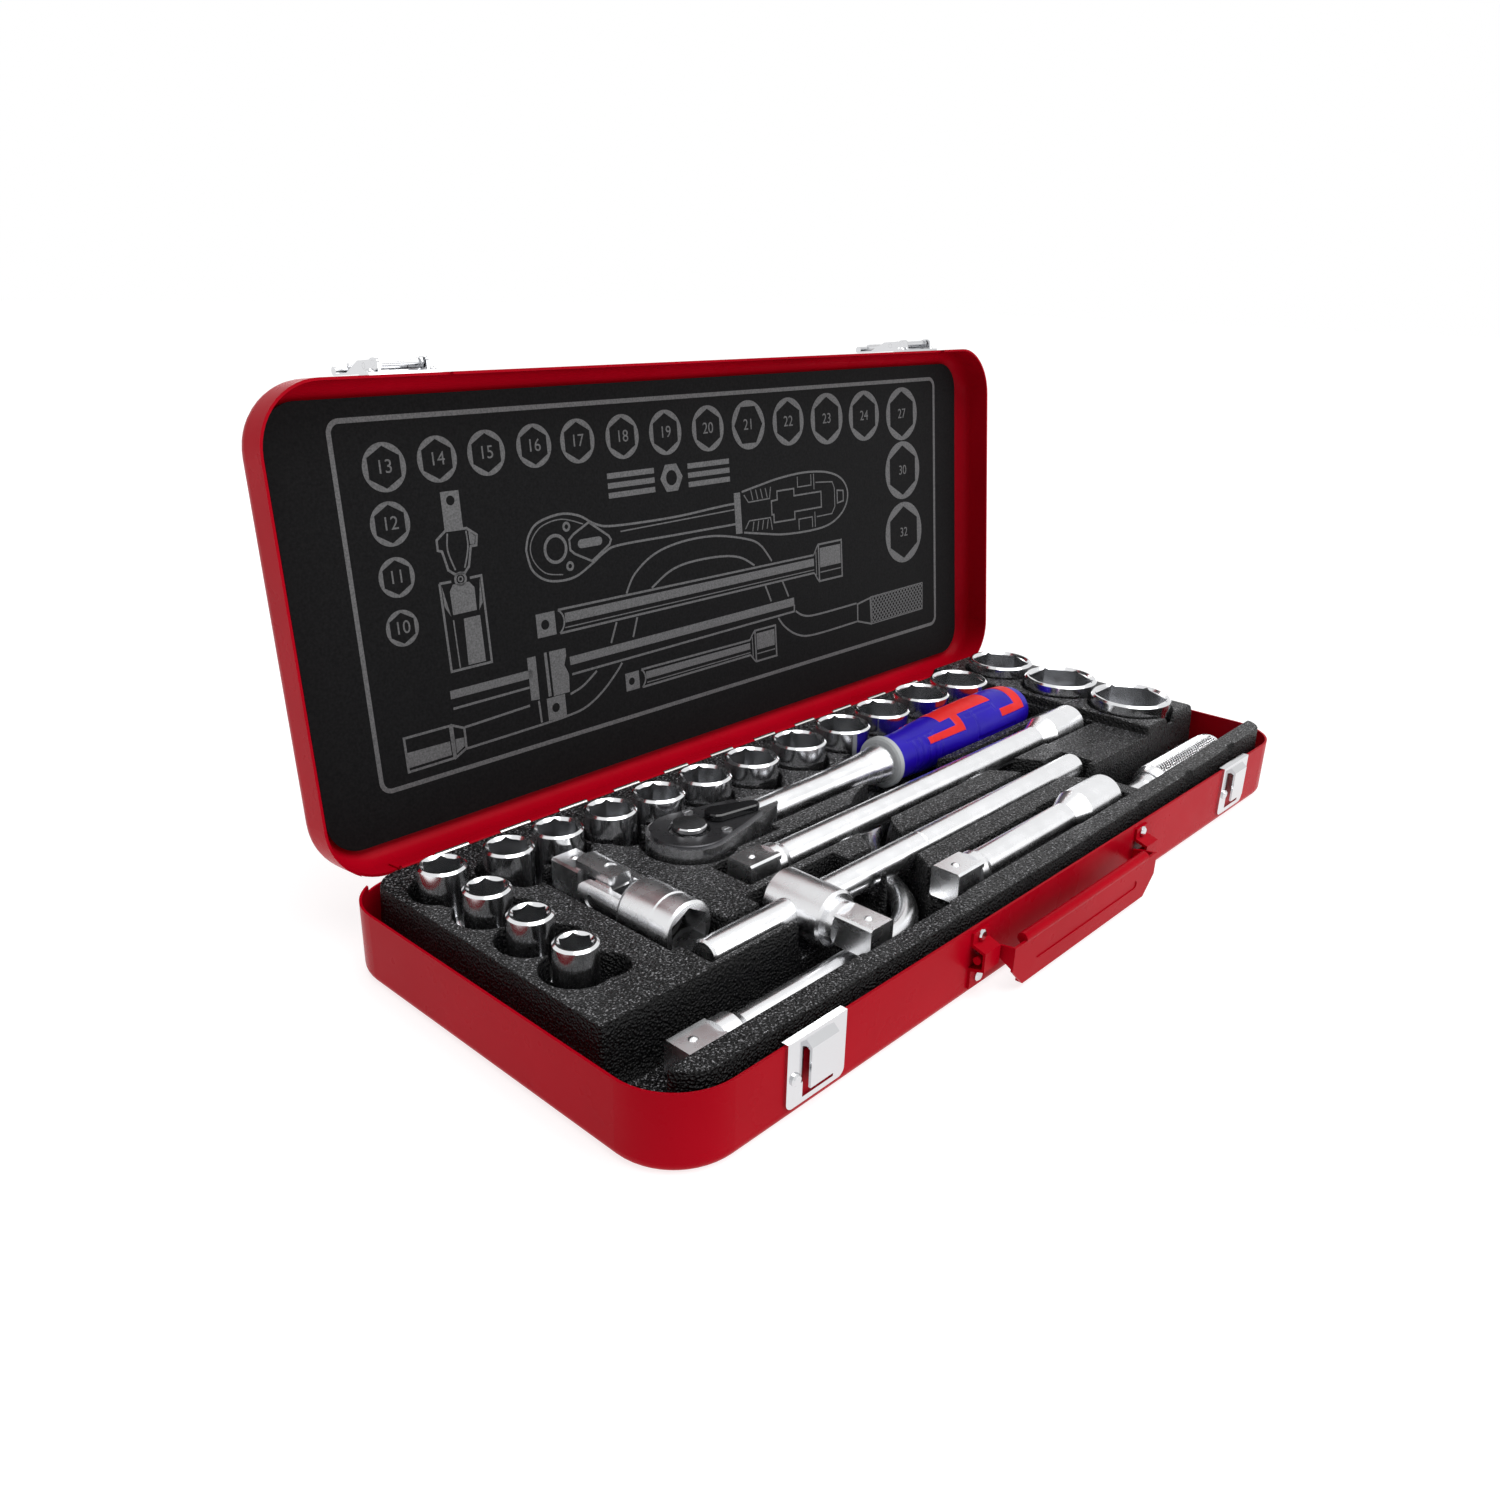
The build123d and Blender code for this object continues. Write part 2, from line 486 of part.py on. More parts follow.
def gear_drive():
    """Ratchet wheel with the drive square below; the teeth are cut all round."""
    wheel = rod_z(RX, RY, 24.9, 35.2, 11.2)
    teeth = 36
    notch = Polyline((11.6, -0.55, 0), (10.4, 0, 0), (11.6, 0.55, 0), close=True)
    cutter = extrude(make_face(notch), amount=9)
    for i in range(teeth):
        wheel -= Pos(RX, RY, 26) * Rot(0, 0, 360 / teeth * i) * cutter
    wheel += rod_z(RX, RY, 21.5, 25, 8.9)
    square = box(RX - SQUARE / 2, RX + SQUARE / 2, RY - SQUARE / 2, RY + SQUARE / 2, 6.5, 22)
    wheel += chamfer(square.edges().filter_by(Axis.Z), 0.8)
    wheel -= rod_z(RX, RY, 12, 40, 3.2)
    return wheel


def pawl():
    body = rod_z(0, 0, 27, 34.6, 3.4) + box(-3.6, 0, -4.6, 4.6, 27, 34.6)
    body -= rod_z(RX - PAWL_X, 0, 20, 40, 12.5) + rod_z(0, 0, 26, 36, 1.6)
    return Pos(PAWL_X, RY, 0) * Rot(0, 0, -PAWL_SWING / 2) * body


parts["ratchet_body"] = ratchet_body()
parts["ratchet_gear"] = gear_drive()
parts["ratchet_pawl"] = pawl()
cover = Pos(0, 0, HEAD_Z1) * extrude(head_face(1.2), amount=1.4)
cover -= box(RX + 34, RX + 60, RY - 20, RY + 20, 30, 45)
cover = chamfer(cover.faces().sort_by(Axis.Z)[-1].edges(), 0.4)
cover -= rod_z(RX, RY, 30, 45, 8.6) + rod_z(PAWL_X, RY, 30, 45, 2.6)
for dy in (-11.3, 11.3):
    cover -= rod_z(RX + 10, RY + dy, 30, 45, 1.3)
parts["ratchet_cover_plate"] = cover
parts["ratchet_cover_screws"] = group(*[
    rod_z(RX + 10, RY + dy, 37.2, 37.8, 2.2) + rod_z(RX + 10, RY + dy, 30, 37.3, 1.2)
    - Pos(RX + 10, RY + dy, 37.8) * Box(3.2, 0.6, 0.7) for dy in (-11.3, 11.3)])
button = chamfer(rod_z(RX, RY, 36.9, 39.8, 7.2).edges(), 0.5)
parts["release_button"] = button + rod_z(RX, RY, 14, 37, 3.1)
lever_face = make_hull((Pos(0, 0) * Circle(5.0)).edges() + (Pos(17, 0) * Circle(3.0)).edges())
lever = extrude(lever_face, amount=2.8)
lever = chamfer(lever.faces().sort_by(Axis.Z)[-1].edges(), 0.6)
lever += rod_z(0, 0, -2.7, 0.1, 2.5) + rod_z(0, 0, -9.7, -2.6, 1.5)
parts["reverse_lever"] = Pos(PAWL_X, RY, 37.6) * Rot(0, 0, -LEVER_SWING / 2) * lever
parts["pawl_spring"] = (rod_x(PAWL_X + 3.8, PAWL_X + 5.3, RY, 30.8, 1.4)
                        - rod_x(PAWL_X + 3.5, PAWL_X + 5.5, RY, 30.8, 0.8))
COLLAR_X = RX + 124.8
parts["ratchet_collar"] = turned_x([
    (COLLAR_X, 5.0 + FIT), (COLLAR_X, 11.4), (COLLAR_X + 0.8, 12.4), (COLLAR_X + 3.4, 12.4),
    (COLLAR_X + 4, 11.6), (COLLAR_X + 4, 5.0 + FIT)], RY, RZ)
GRIP_FRONT = COLLAR_X + 4.1
GRIP_OUTLINE = [(0, 10.6), (12, 10.9), (30, 12.3), (52, 13.7), (72, 14.1), (92, 14.0),
                (106, 12.9), (113, 10.6), (117, 6.5), (117.6, 0)]


def grip_solid(extra=0.0):
    start, end = [(GRIP_FRONT, 0)], [(GRIP_FRONT + 117.6 + extra, 0)]
    rim = [(GRIP_FRONT + dx, r + extra) for dx, r in GRIP_OUTLINE[:-1]]
    return turned_x(start + rim + end, RY, RZ)


grip = grip_solid()
grip_bore = rod_x(GRIP_FRONT - 1, RX + 216, RY, RZ, 5.0 + FIT)


def inlay_prisms():
    """Outline of the softer coloured inlays, on the upper and the lower side of the grip."""
    g = GRIP_FRONT
    plan = box(g + 38, g + 80, RY - 5.5, RY + 5.5, 0, 60)
    plan += box(g + 66, g + 104, RY + 5.5, RY + 12, 0, 60) + box(g + 98, g + 104, RY - 12, RY + 12, 0, 60)
    plan += box(g + 82, g + 104, RY - 12, RY - 6.5, 0, 60)
    plan += box(g + 18, g + 48, RY - 12, RY - 7.5, 0, 60) + box(g + 44, g + 50, RY - 8.5, RY - 5, 0, 60)
    return plan


inlay_zone = inlay_prisms()
inlay_skin = (grip_solid(0.3) - grip_solid(-0.6)) & inlay_zone
parts["ratchet_grip_inlay"] = inlay_skin
parts["ratchet_grip"] = grip - grip_bore - inlay_skin


# ---- tray ----
def tray_pockets(grow):
    """All recesses of the tray; grow thickens them outward to give the moulded wall."""
    top = TRAY_HIGH + 1
    cuts = []
    for size, (x, y, diameter) in SOCKETS.items():
        r = max(DRIVE_END_R, diameter / 2) + 0.9 + grow
        cuts.append(rod_z(x, y, SOCKET_FLOOR - grow, top, r))
        left_column = size < 13
        dx, dy = (9, -6) if left_column else (0, -10)
        if size < 27:
            cuts.append(rod_z(x + dx, y + dy, 19 - grow, top, 6.5 + grow))
    g = grow
    cuts.append(box(UX - 13.4 - g, UX + 13.4 + g, UY - 46 - g, UY + 29.5 + g, 16 - g, top))
    cuts.append(rod_z(RX, RY, 5.5 - g, top, 19 + g))
    cuts.append(box(RX - g, RX + 36 + g, RY - 15.5 - g, RY + 15.5 + g, 21 - g, top))
    cuts.append(box(RX + 30, COLLAR_X - 6, RY - 10 - g, RY + 10 + g, 19 - g, top))
    cuts.append(box(COLLAR_X - 8 - g, GRIP_FRONT + 121 + g, RY - 16.0 - g, RY + 15.0 + g, 15.5 - g, top))
    for ext in (LONG_EXT, SHORT_EXT):
        x1 = ext["x0"] + ext["length"]
        cuts.append(box(ext["x0"] - 4 - g, x1 + 3 + g, ext["y"] - 9.5 - g, ext["y"] + 9.5 + g, 20.5 - g, top))
        cuts.append(box(x1 - 40 - g, x1 + 4 + g, ext["y"] - 10.6 - g, ext["y"] + 10.6 + g, 17.5 - g, top))
    cuts.append(box(TBAR["x0"] - 4 - g, bar_x1 + 4 + g, TBAR["y"] - 7.6 - g, TBAR["y"] + 7.6 + g,
                    20 - g, top))
    cuts.append(box(HEAD_X - 15 - g, HEAD_X + 35 + g, TBAR["y"] - 40 - g, TBAR["y"] + 15 + g,
                    14.5 - g, top))
    cuts.append(box(-230, -60 + g, TROUGH_Y - g, -47.5 + g, 6 - g, top))
    cuts.append(box(-70, -52 + g, TROUGH_Y - g, -47.5 + g, 6 - g, top))
    cuts.append(box(88 - g, 230, TROUGH_Y - g, -47.5 + g, 4 - g, top))
    channel = trace(crank, 15 + 2 * g)
    cuts.append(Pos(0, 0, 7.5 - g) * extrude(channel, amount=top - 7.5 + g))
    pocket = cuts[0]
    return pocket.fuse(*cuts[1:])


def tray_block(inset):
    """Block of the tray: low in the middle, higher at the front ridge and the right end."""
    outline = RectangleRounded(2 * TRAY_X - 2 * inset, TRAY_BACK - TRAY_FRONT - 2 * inset,
                               12 - inset)
    middle_y = (TRAY_BACK + TRAY_FRONT) / 2
    low = Pos(0, middle_y, 1.0) * extrude(outline, amount=TRAY_TOP - 1.0 - inset)
    high = Pos(0, middle_y, 1.0) * extrude(outline, amount=TRAY_HIGH - 1.0 - inset)
    ridge_face = make_face(Polyline((0, 0, 0), (230, 0, 0), (230, 0, TRAY_HIGH - inset),
                                    (0, 0, TRAY_TOP - inset), close=True))
    ridge = Pos(0, TROUGH_Y - TRAY_WALL - inset, 0) * extrude(ridge_face, amount=40, dir=(0, -1, 0))
    block = high & box(HIGH_BLOCK_X + inset, 230, -46.3 + inset, 100, 0, 60)
    if inset == 0:
        low = fillet(low.faces().sort_by(Axis.Z)[-1].edges(), 1.2)
        block = chamfer(block.faces().sort_by(Axis.Z)[-1].edges(), 1.2)
    return low + (high & ridge) + block


tray = tray_block(0) - (Pos(0, 0, -0.2) * tray_block(TRAY_WALL) - tray_pockets(TRAY_WALL))
tray -= tray_pockets(0.0)
parts["tray"] = tray

os.makedirs("parts", exist_ok=True)
for name, shape in parts.items():
    export_step(shape, "parts/%s.step" % name)
print(len(parts), "nodes")
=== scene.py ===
import bpy
import bmesh
import json
import math
import numpy as np
from mathutils import Matrix, Vector
from mathutils.bvhtree import BVHTree


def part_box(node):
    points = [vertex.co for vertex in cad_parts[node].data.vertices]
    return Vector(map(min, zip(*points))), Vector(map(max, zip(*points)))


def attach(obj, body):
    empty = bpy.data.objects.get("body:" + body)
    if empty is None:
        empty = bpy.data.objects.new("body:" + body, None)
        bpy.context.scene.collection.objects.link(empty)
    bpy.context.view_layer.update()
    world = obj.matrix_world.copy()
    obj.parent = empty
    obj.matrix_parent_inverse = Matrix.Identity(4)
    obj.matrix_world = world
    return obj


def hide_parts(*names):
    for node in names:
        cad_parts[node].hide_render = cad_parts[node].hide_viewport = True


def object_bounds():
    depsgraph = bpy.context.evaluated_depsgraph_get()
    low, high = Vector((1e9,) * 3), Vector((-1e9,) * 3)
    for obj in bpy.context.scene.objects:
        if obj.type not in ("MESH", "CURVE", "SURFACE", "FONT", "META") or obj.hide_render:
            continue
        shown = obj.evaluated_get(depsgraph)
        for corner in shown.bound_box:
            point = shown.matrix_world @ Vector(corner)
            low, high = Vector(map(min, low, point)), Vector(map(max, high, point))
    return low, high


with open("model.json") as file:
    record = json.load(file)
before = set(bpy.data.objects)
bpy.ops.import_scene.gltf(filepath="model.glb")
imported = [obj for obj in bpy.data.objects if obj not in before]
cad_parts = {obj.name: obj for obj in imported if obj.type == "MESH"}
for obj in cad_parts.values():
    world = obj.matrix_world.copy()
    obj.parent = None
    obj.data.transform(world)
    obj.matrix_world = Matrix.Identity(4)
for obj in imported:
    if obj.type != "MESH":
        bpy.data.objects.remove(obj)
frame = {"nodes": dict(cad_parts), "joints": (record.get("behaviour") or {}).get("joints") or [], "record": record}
cad_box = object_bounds()
nodes = frame["nodes"]
MM = 0.001
scene = bpy.context.scene
scene.view_settings.view_transform = "Standard"


# ---- camera, lights, floor ----
SENSOR_WIDTH = 36.0
LENS = 28.926
CAMERA_RIGHT = (0.684669, -0.728481, 0.023303)
CAMERA_UP = (0.252121, 0.266714, 0.930214)
CAMERA_BACK = (-0.683859, -0.631014, 0.366276)
CAMERA_PLACE = (-402.705, -287.141, 243.289)
SUN_POWER = 2.3
SUN_ANGLE = 55
SUN_DIRECTION = (-0.12, 0.38, -1.0)
# what the white world sends to matt surfaces, to glossy ones and to the camera
WORLD_MATT, WORLD_GLOSSY, WORLD_SEEN = 0.16, 0.95, 1.0


def make_camera():
    data = bpy.data.cameras.new("camera")
    data.sensor_width = SENSOR_WIDTH
    data.lens = LENS
    matrix = Matrix((CAMERA_RIGHT, CAMERA_UP, CAMERA_BACK)).transposed().to_4x4()
    matrix.translation = Vector(CAMERA_PLACE) * MM
    camera = bpy.data.objects.new("camera", data)
    camera.matrix_world = matrix
    scene.collection.objects.link(camera)
    scene.camera = camera


def softbox(name, place, target, width, height, power):
    data = bpy.data.lights.new(name, "AREA")
    data.shape = "RECTANGLE"
    data.size, data.size_y = width, height
    data.energy = power
    light = bpy.data.objects.new(name, data)
    light.location = place
    light.rotation_euler = (Vector(target) - Vector(place)).to_track_quat("-Z", "Y").to_euler()
    scene.collection.objects.link(light)


def key_light():
    """Broad, even light from above, so that the far floor is as pale as the near floor."""
    data = bpy.data.lights.new("key", "SUN")
    data.energy = SUN_POWER
    data.angle = math.radians(SUN_ANGLE)
    light = bpy.data.objects.new("key", data)
    light.rotation_euler = Vector(SUN_DIRECTION).to_track_quat("-Z", "Y").to_euler()
    scene.collection.objects.link(light)


def make_world():
    world = bpy.data.worlds.new("studio")
    scene.world = world
    world.use_nodes = True
    tree = world.node_tree
    tree.nodes.clear()
    out = tree.nodes.new("ShaderNodeOutputWorld")
    background = tree.nodes.new("ShaderNodeBackground")
    path = tree.nodes.new("ShaderNodeLightPath")
    previous = None
    for output, high in (("Is Glossy Ray", WORLD_GLOSSY), ("Is Camera Ray", WORLD_SEEN)):
        level = tree.nodes.new("ShaderNodeMapRange")
        level.inputs["To Max"].default_value = high
        if previous:
            tree.links.new(previous.outputs["Result"], level.inputs["To Min"])
        else:
            level.inputs["To Min"].default_value = WORLD_MATT
        tree.links.new(path.outputs[output], level.inputs["Value"])
        previous = level
    tree.links.new(previous.outputs["Result"], background.inputs["Strength"])
    background.inputs["Color"].default_value = (1, 1, 1, 1)
    tree.links.new(background.outputs["Background"], out.inputs["Surface"])


make_camera()
make_world()
key_light()
softbox("front", (0.55, -1.3, 0.5), (0, 0, 0.08), 1.2, 0.5, 4)
softbox("left", (-1.2, 0.1, 0.5), (0, 0, 0.05), 0.6, 0.6, 1.0)
softbox("rear", (0.6, 1.1, 0.8), (0, 0, 0.05), 1.0, 0.4, 6)


# ---- materials ----
class Shader:
    """A Principled material with helpers for procedural detail in the object's own coordinates."""

    def __init__(self, name, color, roughness, metallic=0.0):
        self.material = bpy.data.materials.new(name)
        self.material.use_nodes = True
        self.tree = self.material.node_tree
        self.bsdf = self.tree.nodes["Principled BSDF"]
        self.coords = self.tree.nodes.new("ShaderNodeTexCoord").outputs["Object"]
        self.set("Base Color", (*color, 1))
        self.set("Roughness", roughness)
        self.set("Metallic", metallic)
        self.normal = None

    def set(self, socket, value):
        self.bsdf.inputs[socket].default_value = value
        return self

    def node(self, kind, **values):
        made = self.tree.nodes.new(kind)
        for key, value in values.items():
            made.inputs[key.replace("_", " ")].default_value = value
        return made

    def link(self, source, target):
        self.tree.links.new(source, target)

    def stretched(self, scale):
        mapping = self.node("ShaderNodeMapping", Scale=scale)
        self.link(self.coords, mapping.inputs["Vector"])
        return mapping.outputs["Vector"]

    def noise(self, scale, detail=3.0, roughness=0.55, stretch=None):
        made = self.node("ShaderNodeTexNoise", Scale=scale, Detail=detail, Roughness=roughness)
        self.link(self.stretched(stretch) if stretch else self.coords, made.inputs["Vector"])
        return made.outputs["Fac"]

    def cells(self, scale, feature="F1"):
        made = self.node("ShaderNodeTexVoronoi", Scale=scale)
        made.feature = feature
        self.link(self.coords, made.inputs["Vector"])
        return made.outputs["Distance"]

    def remap(self, value, low, high, from_low=0.3, from_high=0.7):
        made = self.node("ShaderNodeMapRange", From_Min=from_low, From_Max=from_high,
                         To_Min=low, To_Max=high)
        self.link(value, made.inputs["Value"])
        return made.outputs["Result"]

    def vary_roughness(self, value, low, high):
        self.link(self.remap(value, low, high), self.bsdf.inputs["Roughness"])
        return self

    def vary_color(self, value, dark, light, from_low=0.3, from_high=0.7):
        mix = self.node("ShaderNodeMix")
        mix.data_type = "RGBA"
        mix.inputs[6].default_value = (*dark, 1)
        mix.inputs[7].default_value = (*light, 1)
        self.link(self.remap(value, 0.0, 1.0, from_low, from_high), mix.inputs["Factor"])
        self.link(mix.outputs[2], self.bsdf.inputs["Base Color"])
        return self

    def on_top(self, value):
        """Keeps the value only where the surface faces up, so the painted glints stay on the upper faces."""
        normal = self.node("ShaderNodeNewGeometry").outputs["Normal"]
        split = self.node("ShaderNodeSeparateXYZ")
        self.link(normal, split.inputs["Vector"])
        product = self.node("ShaderNodeMath")
        product.operation = "MULTIPLY"
        self.link(value, product.inputs[0])
        self.link(self.remap(split.outputs["Z"], 0.0, 1.0, 0.3, 0.85), product.inputs[1])
        return product.outputs["Value"]

    def bump(self, height, strength, distance):
        made = self.node("ShaderNodeBump", Strength=strength, Distance=distance)
        self.link(height, made.inputs["Height"])
        if self.normal:
            self.link(self.normal, made.inputs["Normal"])
        self.normal = made.outputs["Normal"]
        self.link(self.normal, self.bsdf.inputs["Normal"])
        return self


def red_paint():
    s = Shader("red_enamel", (0.4, 0.0008, 0.009), 0.3)
    s.vary_color(s.noise(14), (0.37, 0.0005, 0.008), (0.44, 0.0012, 0.011))
    s.vary_roughness(s.noise(60), 0.24, 0.34)
    s.bump(s.noise(420, 2), 0.05, 0.0003)
    s.set("Specular IOR Level", 0.03)
    return s.material


def satin_chrome(name="satin_chrome", color=(0.84, 0.845, 0.86), low=0.22, high=0.3):
    s = Shader(name, color, 0.24, 1.0)
    s.vary_color(s.noise(30), [c * 0.96 for c in color], [c * 1.04 for c in color])
    s.vary_roughness(s.noise(120), low, high)
    s.bump(s.noise(3000, 1), 0.03, 0.00005)
    return s.material


def bright_chrome():
    s = Shader("bright_chrome", (0.66, 0.665, 0.68), 0.12, 1.0)
    s.vary_roughness(s.noise(90), 0.09, 0.15)
    s.bump(s.noise(120, 1), 0.04, 0.0002)
    return s.material


def tray_plastic():
    """Black moulded plastic with a pebbled bump grain; the small light specks in its base colour on upward faces
    are painted glints.
    """
    s = Shader("tray_plastic", (0.004, 0.004, 0.0045), 0.3)
    pebble = s.cells(1000)
    # painted glints: pale specks in the base colour, only on upward faces, standing in for light caught by the
    # grain
    s.vary_color(s.on_top(s.noise(1200, 2, 0.6)), (0.002, 0.002, 0.0023), (0.46, 0.46, 0.48),
                 0.56, 0.70)
    s.vary_roughness(s.noise(500, 2), 0.22, 0.42)
    s.bump(pebble, 1.0, 0.0011)
    s.bump(s.noise(1400, 3, 0.65), 0.6, 0.0006)
    s.set("Specular IOR Level", 0.2)
    return s.material


def liner_sheet():
    s = Shader("liner_sheet", (0.012, 0.012, 0.013), 0.6)
    s.vary_color(s.noise(900, 3), (0.005, 0.005, 0.0055), (0.011, 0.011, 0.0115))
    s.bump(s.noise(30, 2), 0.05, 0.002)
    s.set("Specular IOR Level", 0.06)
    return s.material


def plain(name, color, roughness, grain=300.0, strength=0.1, metallic=0.0, specular=0.5):
    s = Shader(name, color, roughness, metallic)
    s.set("Specular IOR Level", specular)
    s.vary_color(s.noise(grain * 0.2), [c * 0.9 for c in color], [c * 1.08 for c in color])
    s.vary_roughness(s.noise(grain), roughness * 0.85, roughness * 1.15)
    s.bump(s.noise(grain * 2, 2), strength, 0.0002)
    return s.material


RED = red_paint()
SATIN = satin_chrome()
POLISHED = satin_chrome("socket_chrome", (0.78, 0.785, 0.8), 0.13, 0.19)
CHROME = bright_chrome()
TRAY = tray_plastic()
LINER = liner_sheet()
STEEL = satin_chrome("bare_steel", (0.8, 0.79, 0.77), 0.15, 0.25)
DARK_PLATE = plain("dark_plate", (0.05, 0.05, 0.054), 0.3, metallic=0.6)
BLACK_GLOSS = plain("black_gloss", (0.008, 0.008, 0.009), 0.12)
RUBBER = plain("rubber", (0.012, 0.012, 0.012), 0.7)
WHITE = plain("collar_white", (0.5, 0.52, 0.53), 0.4, specular=0.3)
BLUE = plain("grip_blue", (0.014, 0.001, 0.40), 0.4, specular=0.22)
GRIP_RED = plain("grip_red", (0.80, 0.02, 0.018), 0.45, specular=0.2)

LOOKS = {
    "red_paint": RED, "bare_steel": STEEL, "bright_chrome": CHROME, "satin_chrome": SATIN,
    "tray_black": TRAY, "liner_print": LINER, "grip_blue": BLUE, "grip_red": GRIP_RED,
    "collar_white": WHITE, "dark_plate": DARK_PLATE, "black_lever": BLACK_GLOSS,
    "black_rubber": RUBBER,
}
for part in frame["record"]["subparts"]:
    node = nodes[part["node"]]
    look = POLISHED if part["node"].startswith("socket_") else LOOKS[part["material_slot"]]
    node.data.materials.clear()
    node.data.materials.append(look)


# ---- lid print: everything is drawn in lid coordinates, x along the hinge and v up from it ----
LID_TILT = math.radians(96.0)
HINGE = Vector(next(j["pos_m"] for j in frame["joints"] if j["name"] == "lid_hinge"))
LID_UP = Vector((0, -math.cos(LID_TILT), math.sin(LID_TILT)))
LID_OUT = Vector((0, math.sin(LID_TILT), math.cos(LID_TILT)))
LINER_DEPTH = min((v.co - HINGE).dot(LID_OUT) for v in nodes["lid_liner"].data.vertices)
INK = 0.06


def lid_point(x, v, proud=0.0):
    """Point on the liner's face, proud millimetres in front of it."""
    return HINGE + Vector((x * MM, 0, 0)) + LID_UP * (v * MM) + LID_OUT * (LINER_DEPTH - proud * MM)


class Ink:
    """Collects thin raised shapes on the liner into one mesh."""

    def __init__(self):
        self.bm = bmesh.new()

    def loops(self, outlines, closed=True):
        """Side walls of the given outlines and the list of their upper vertices."""
        raised = []
        for outline in outlines:
            low = [self.bm.verts.new(lid_point(x, v, 0.0)) for x, v in outline]
            high = [self.bm.verts.new(lid_point(x, v, INK)) for x, v in outline]
            for i in range(len(outline)):
                j = (i + 1) % len(outline)
                self.bm.faces.new((low[i], low[j], high[j], high[i]))
            raised.append(high)
        return raised

    def area(self, outline):
        self.bm.faces.new(self.loops([outline])[0])

    def ring(self, outer, inner):
        a, b = self.loops([outer, inner])
        for i in range(len(a)):
            j = (i + 1) % len(a)
            self.bm.faces.new((a[i], a[j], b[j], b[i]))

    def line(self, points, width, closed=False):
        """Ribbon of even width along a polyline."""
        half = width / 2
        pts = [Vector(p) for p in points]
        n = len(pts)
        left, right = [], []
        for i, p in enumerate(pts):
            before = pts[i - 1] if closed or i else None
            after = pts[(i + 1) % n] if closed or i < n - 1 else None
            d1 = (p - before).normalized() if before is not None else None
            d2 = (after - p).normalized() if after is not None else None
            d1, d2 = d1 or d2, d2 or d1
            mid = (d1 + d2).normalized()
            normal = Vector((-mid.y, mid.x))
            reach = half / max(0.5, mid.dot(d2))
            left.append(tuple(p + normal * reach))
            right.append(tuple(p - normal * reach))
        if closed:
            self.ring(left, right)
        else:
            a = self.loops([left + right[::-1]])[0]
            for i in range(n - 1):
                self.bm.faces.new((a[i], a[i + 1], a[2 * n - 2 - i], a[2 * n - 1 - i]))

    def number(self, text, x, v, size):
        curve = bpy.data.curves.new("number", "FONT")
        curve.body = text
        curve.size = size
        curve.align_x = curve.align_y = "CENTER"
        curve.resolution_u = 4
        curve.extrude = INK / 2
        holder = bpy.data.objects.new("number", curve)
        scene.collection.objects.link(holder)
        bpy.context.view_layer.update()
        mesh = bpy.data.meshes.new_from_object(holder.evaluated_get(
            bpy.context.evaluated_depsgraph_get()))
        for vert in mesh.vertices:
            vert.co = lid_point(x + vert.co.x, v + vert.co.y, vert.co.z + INK / 2)
        self.bm.from_mesh(mesh)
        bpy.data.objects.remove(holder)
        bpy.data.curves.remove(curve)
        bpy.data.meshes.remove(mesh)


def arc(cx, cy, r, start, end, count=8):
    return [(cx + r * math.cos(math.radians(start + (end - start) * i / count)),
             cy + r * math.sin(math.radians(start + (end - start) * i / count)))
            for i in range(count + 1)]


def circle(cx, cy, r, count=48, phase=0.0):
    return [(cx + r * math.cos(2 * math.pi * (i + phase) / count),
             cy + r * math.sin(2 * math.pi * (i + phase) / count)) for i in range(count)]


def polygon_ring(cx, cy, corner_r, sides, turn, count=48):
    """Outline of a regular polygon, sampled at the same angles as circle()."""
    step = 2 * math.pi / sides
    out = []
    for i in range(count):
        a = 2 * math.pi * i / count
        off = (a - turn) % step - step / 2
        r = corner_r * math.cos(step / 2) / math.cos(off)
        out.append((cx + r * math.cos(a), cy + r * math.sin(a)))
    return out


def rounded_frame(x0, x1, v0, v1, r):
    return (arc(x1 - r, v1 - r, r, 0, 90) + arc(x0 + r, v1 - r, r, 90, 180)
            + arc(x0 + r, v0 + r, r, 180, 270) + arc(x1 - r, v0 + r, r, 270, 360))


def smooth(points, steps=6):
    """Catmull-Rom curve through the points."""
    pts = [Vector(points[0])] + [Vector(p) for p in points] + [Vector(points[-1])]
    out = []
    for i in range(1, len(pts) - 2):
        p0, p1, p2, p3 = pts[i - 1:i + 3]
        for k in range(steps):
            t = k / steps
            out.append(tuple(0.5 * (2 * p1 + (p2 - p0) * t + (2 * p0 - 5 * p1 + 4 * p2 - p3) * t * t
                                    + (3 * p1 - p0 - 3 * p2 + p3) * t ** 3)))
    return out + [tuple(points[-1])]


# size: (x, v, outer radius)
ICONS = {
    10: (-165.2, 87.6, 7.1), 11: (-164.6, 107.1, 7.7), 12: (-164.2, 127.2, 8.4),
    13: (-163.4, 148.0, 9.1), 14: (-140.5, 149.0, 8.8), 15: (-117.8, 149.5, 8.9),
    16: (-94.3, 150.4, 8.8), 17: (-71.5, 150.6, 9.2), 18: (-46.5, 150.6, 9.5),
    19: (-20.8, 150.6, 9.9), 20: (6.3, 150.5, 10.4), 21: (33.8, 150.3, 11.5),
    22: (62.8, 150.0, 11.6), 23: (92.7, 149.5, 12.8), 24: (123.7, 149.1, 12.9),
    27: (157.2, 148.1, 14.1), 30: (157.3, 117.6, 15.8), 32: (157.6, 83.1, 17.0),
}
OUTLINE = 1.0
FRAME_LINE = 1.9
NUMBER_SIZE = 7.2


def draw_icons(ink):
    for size, (x, v, r) in ICONS.items():
        turn = 0.0 if size == 21 else math.pi / 6
        ink.ring(circle(x, v, r), polygon_ring(x, v, r * 0.86, 6, turn))
        ink.number(str(size), x, v, NUMBER_SIZE)


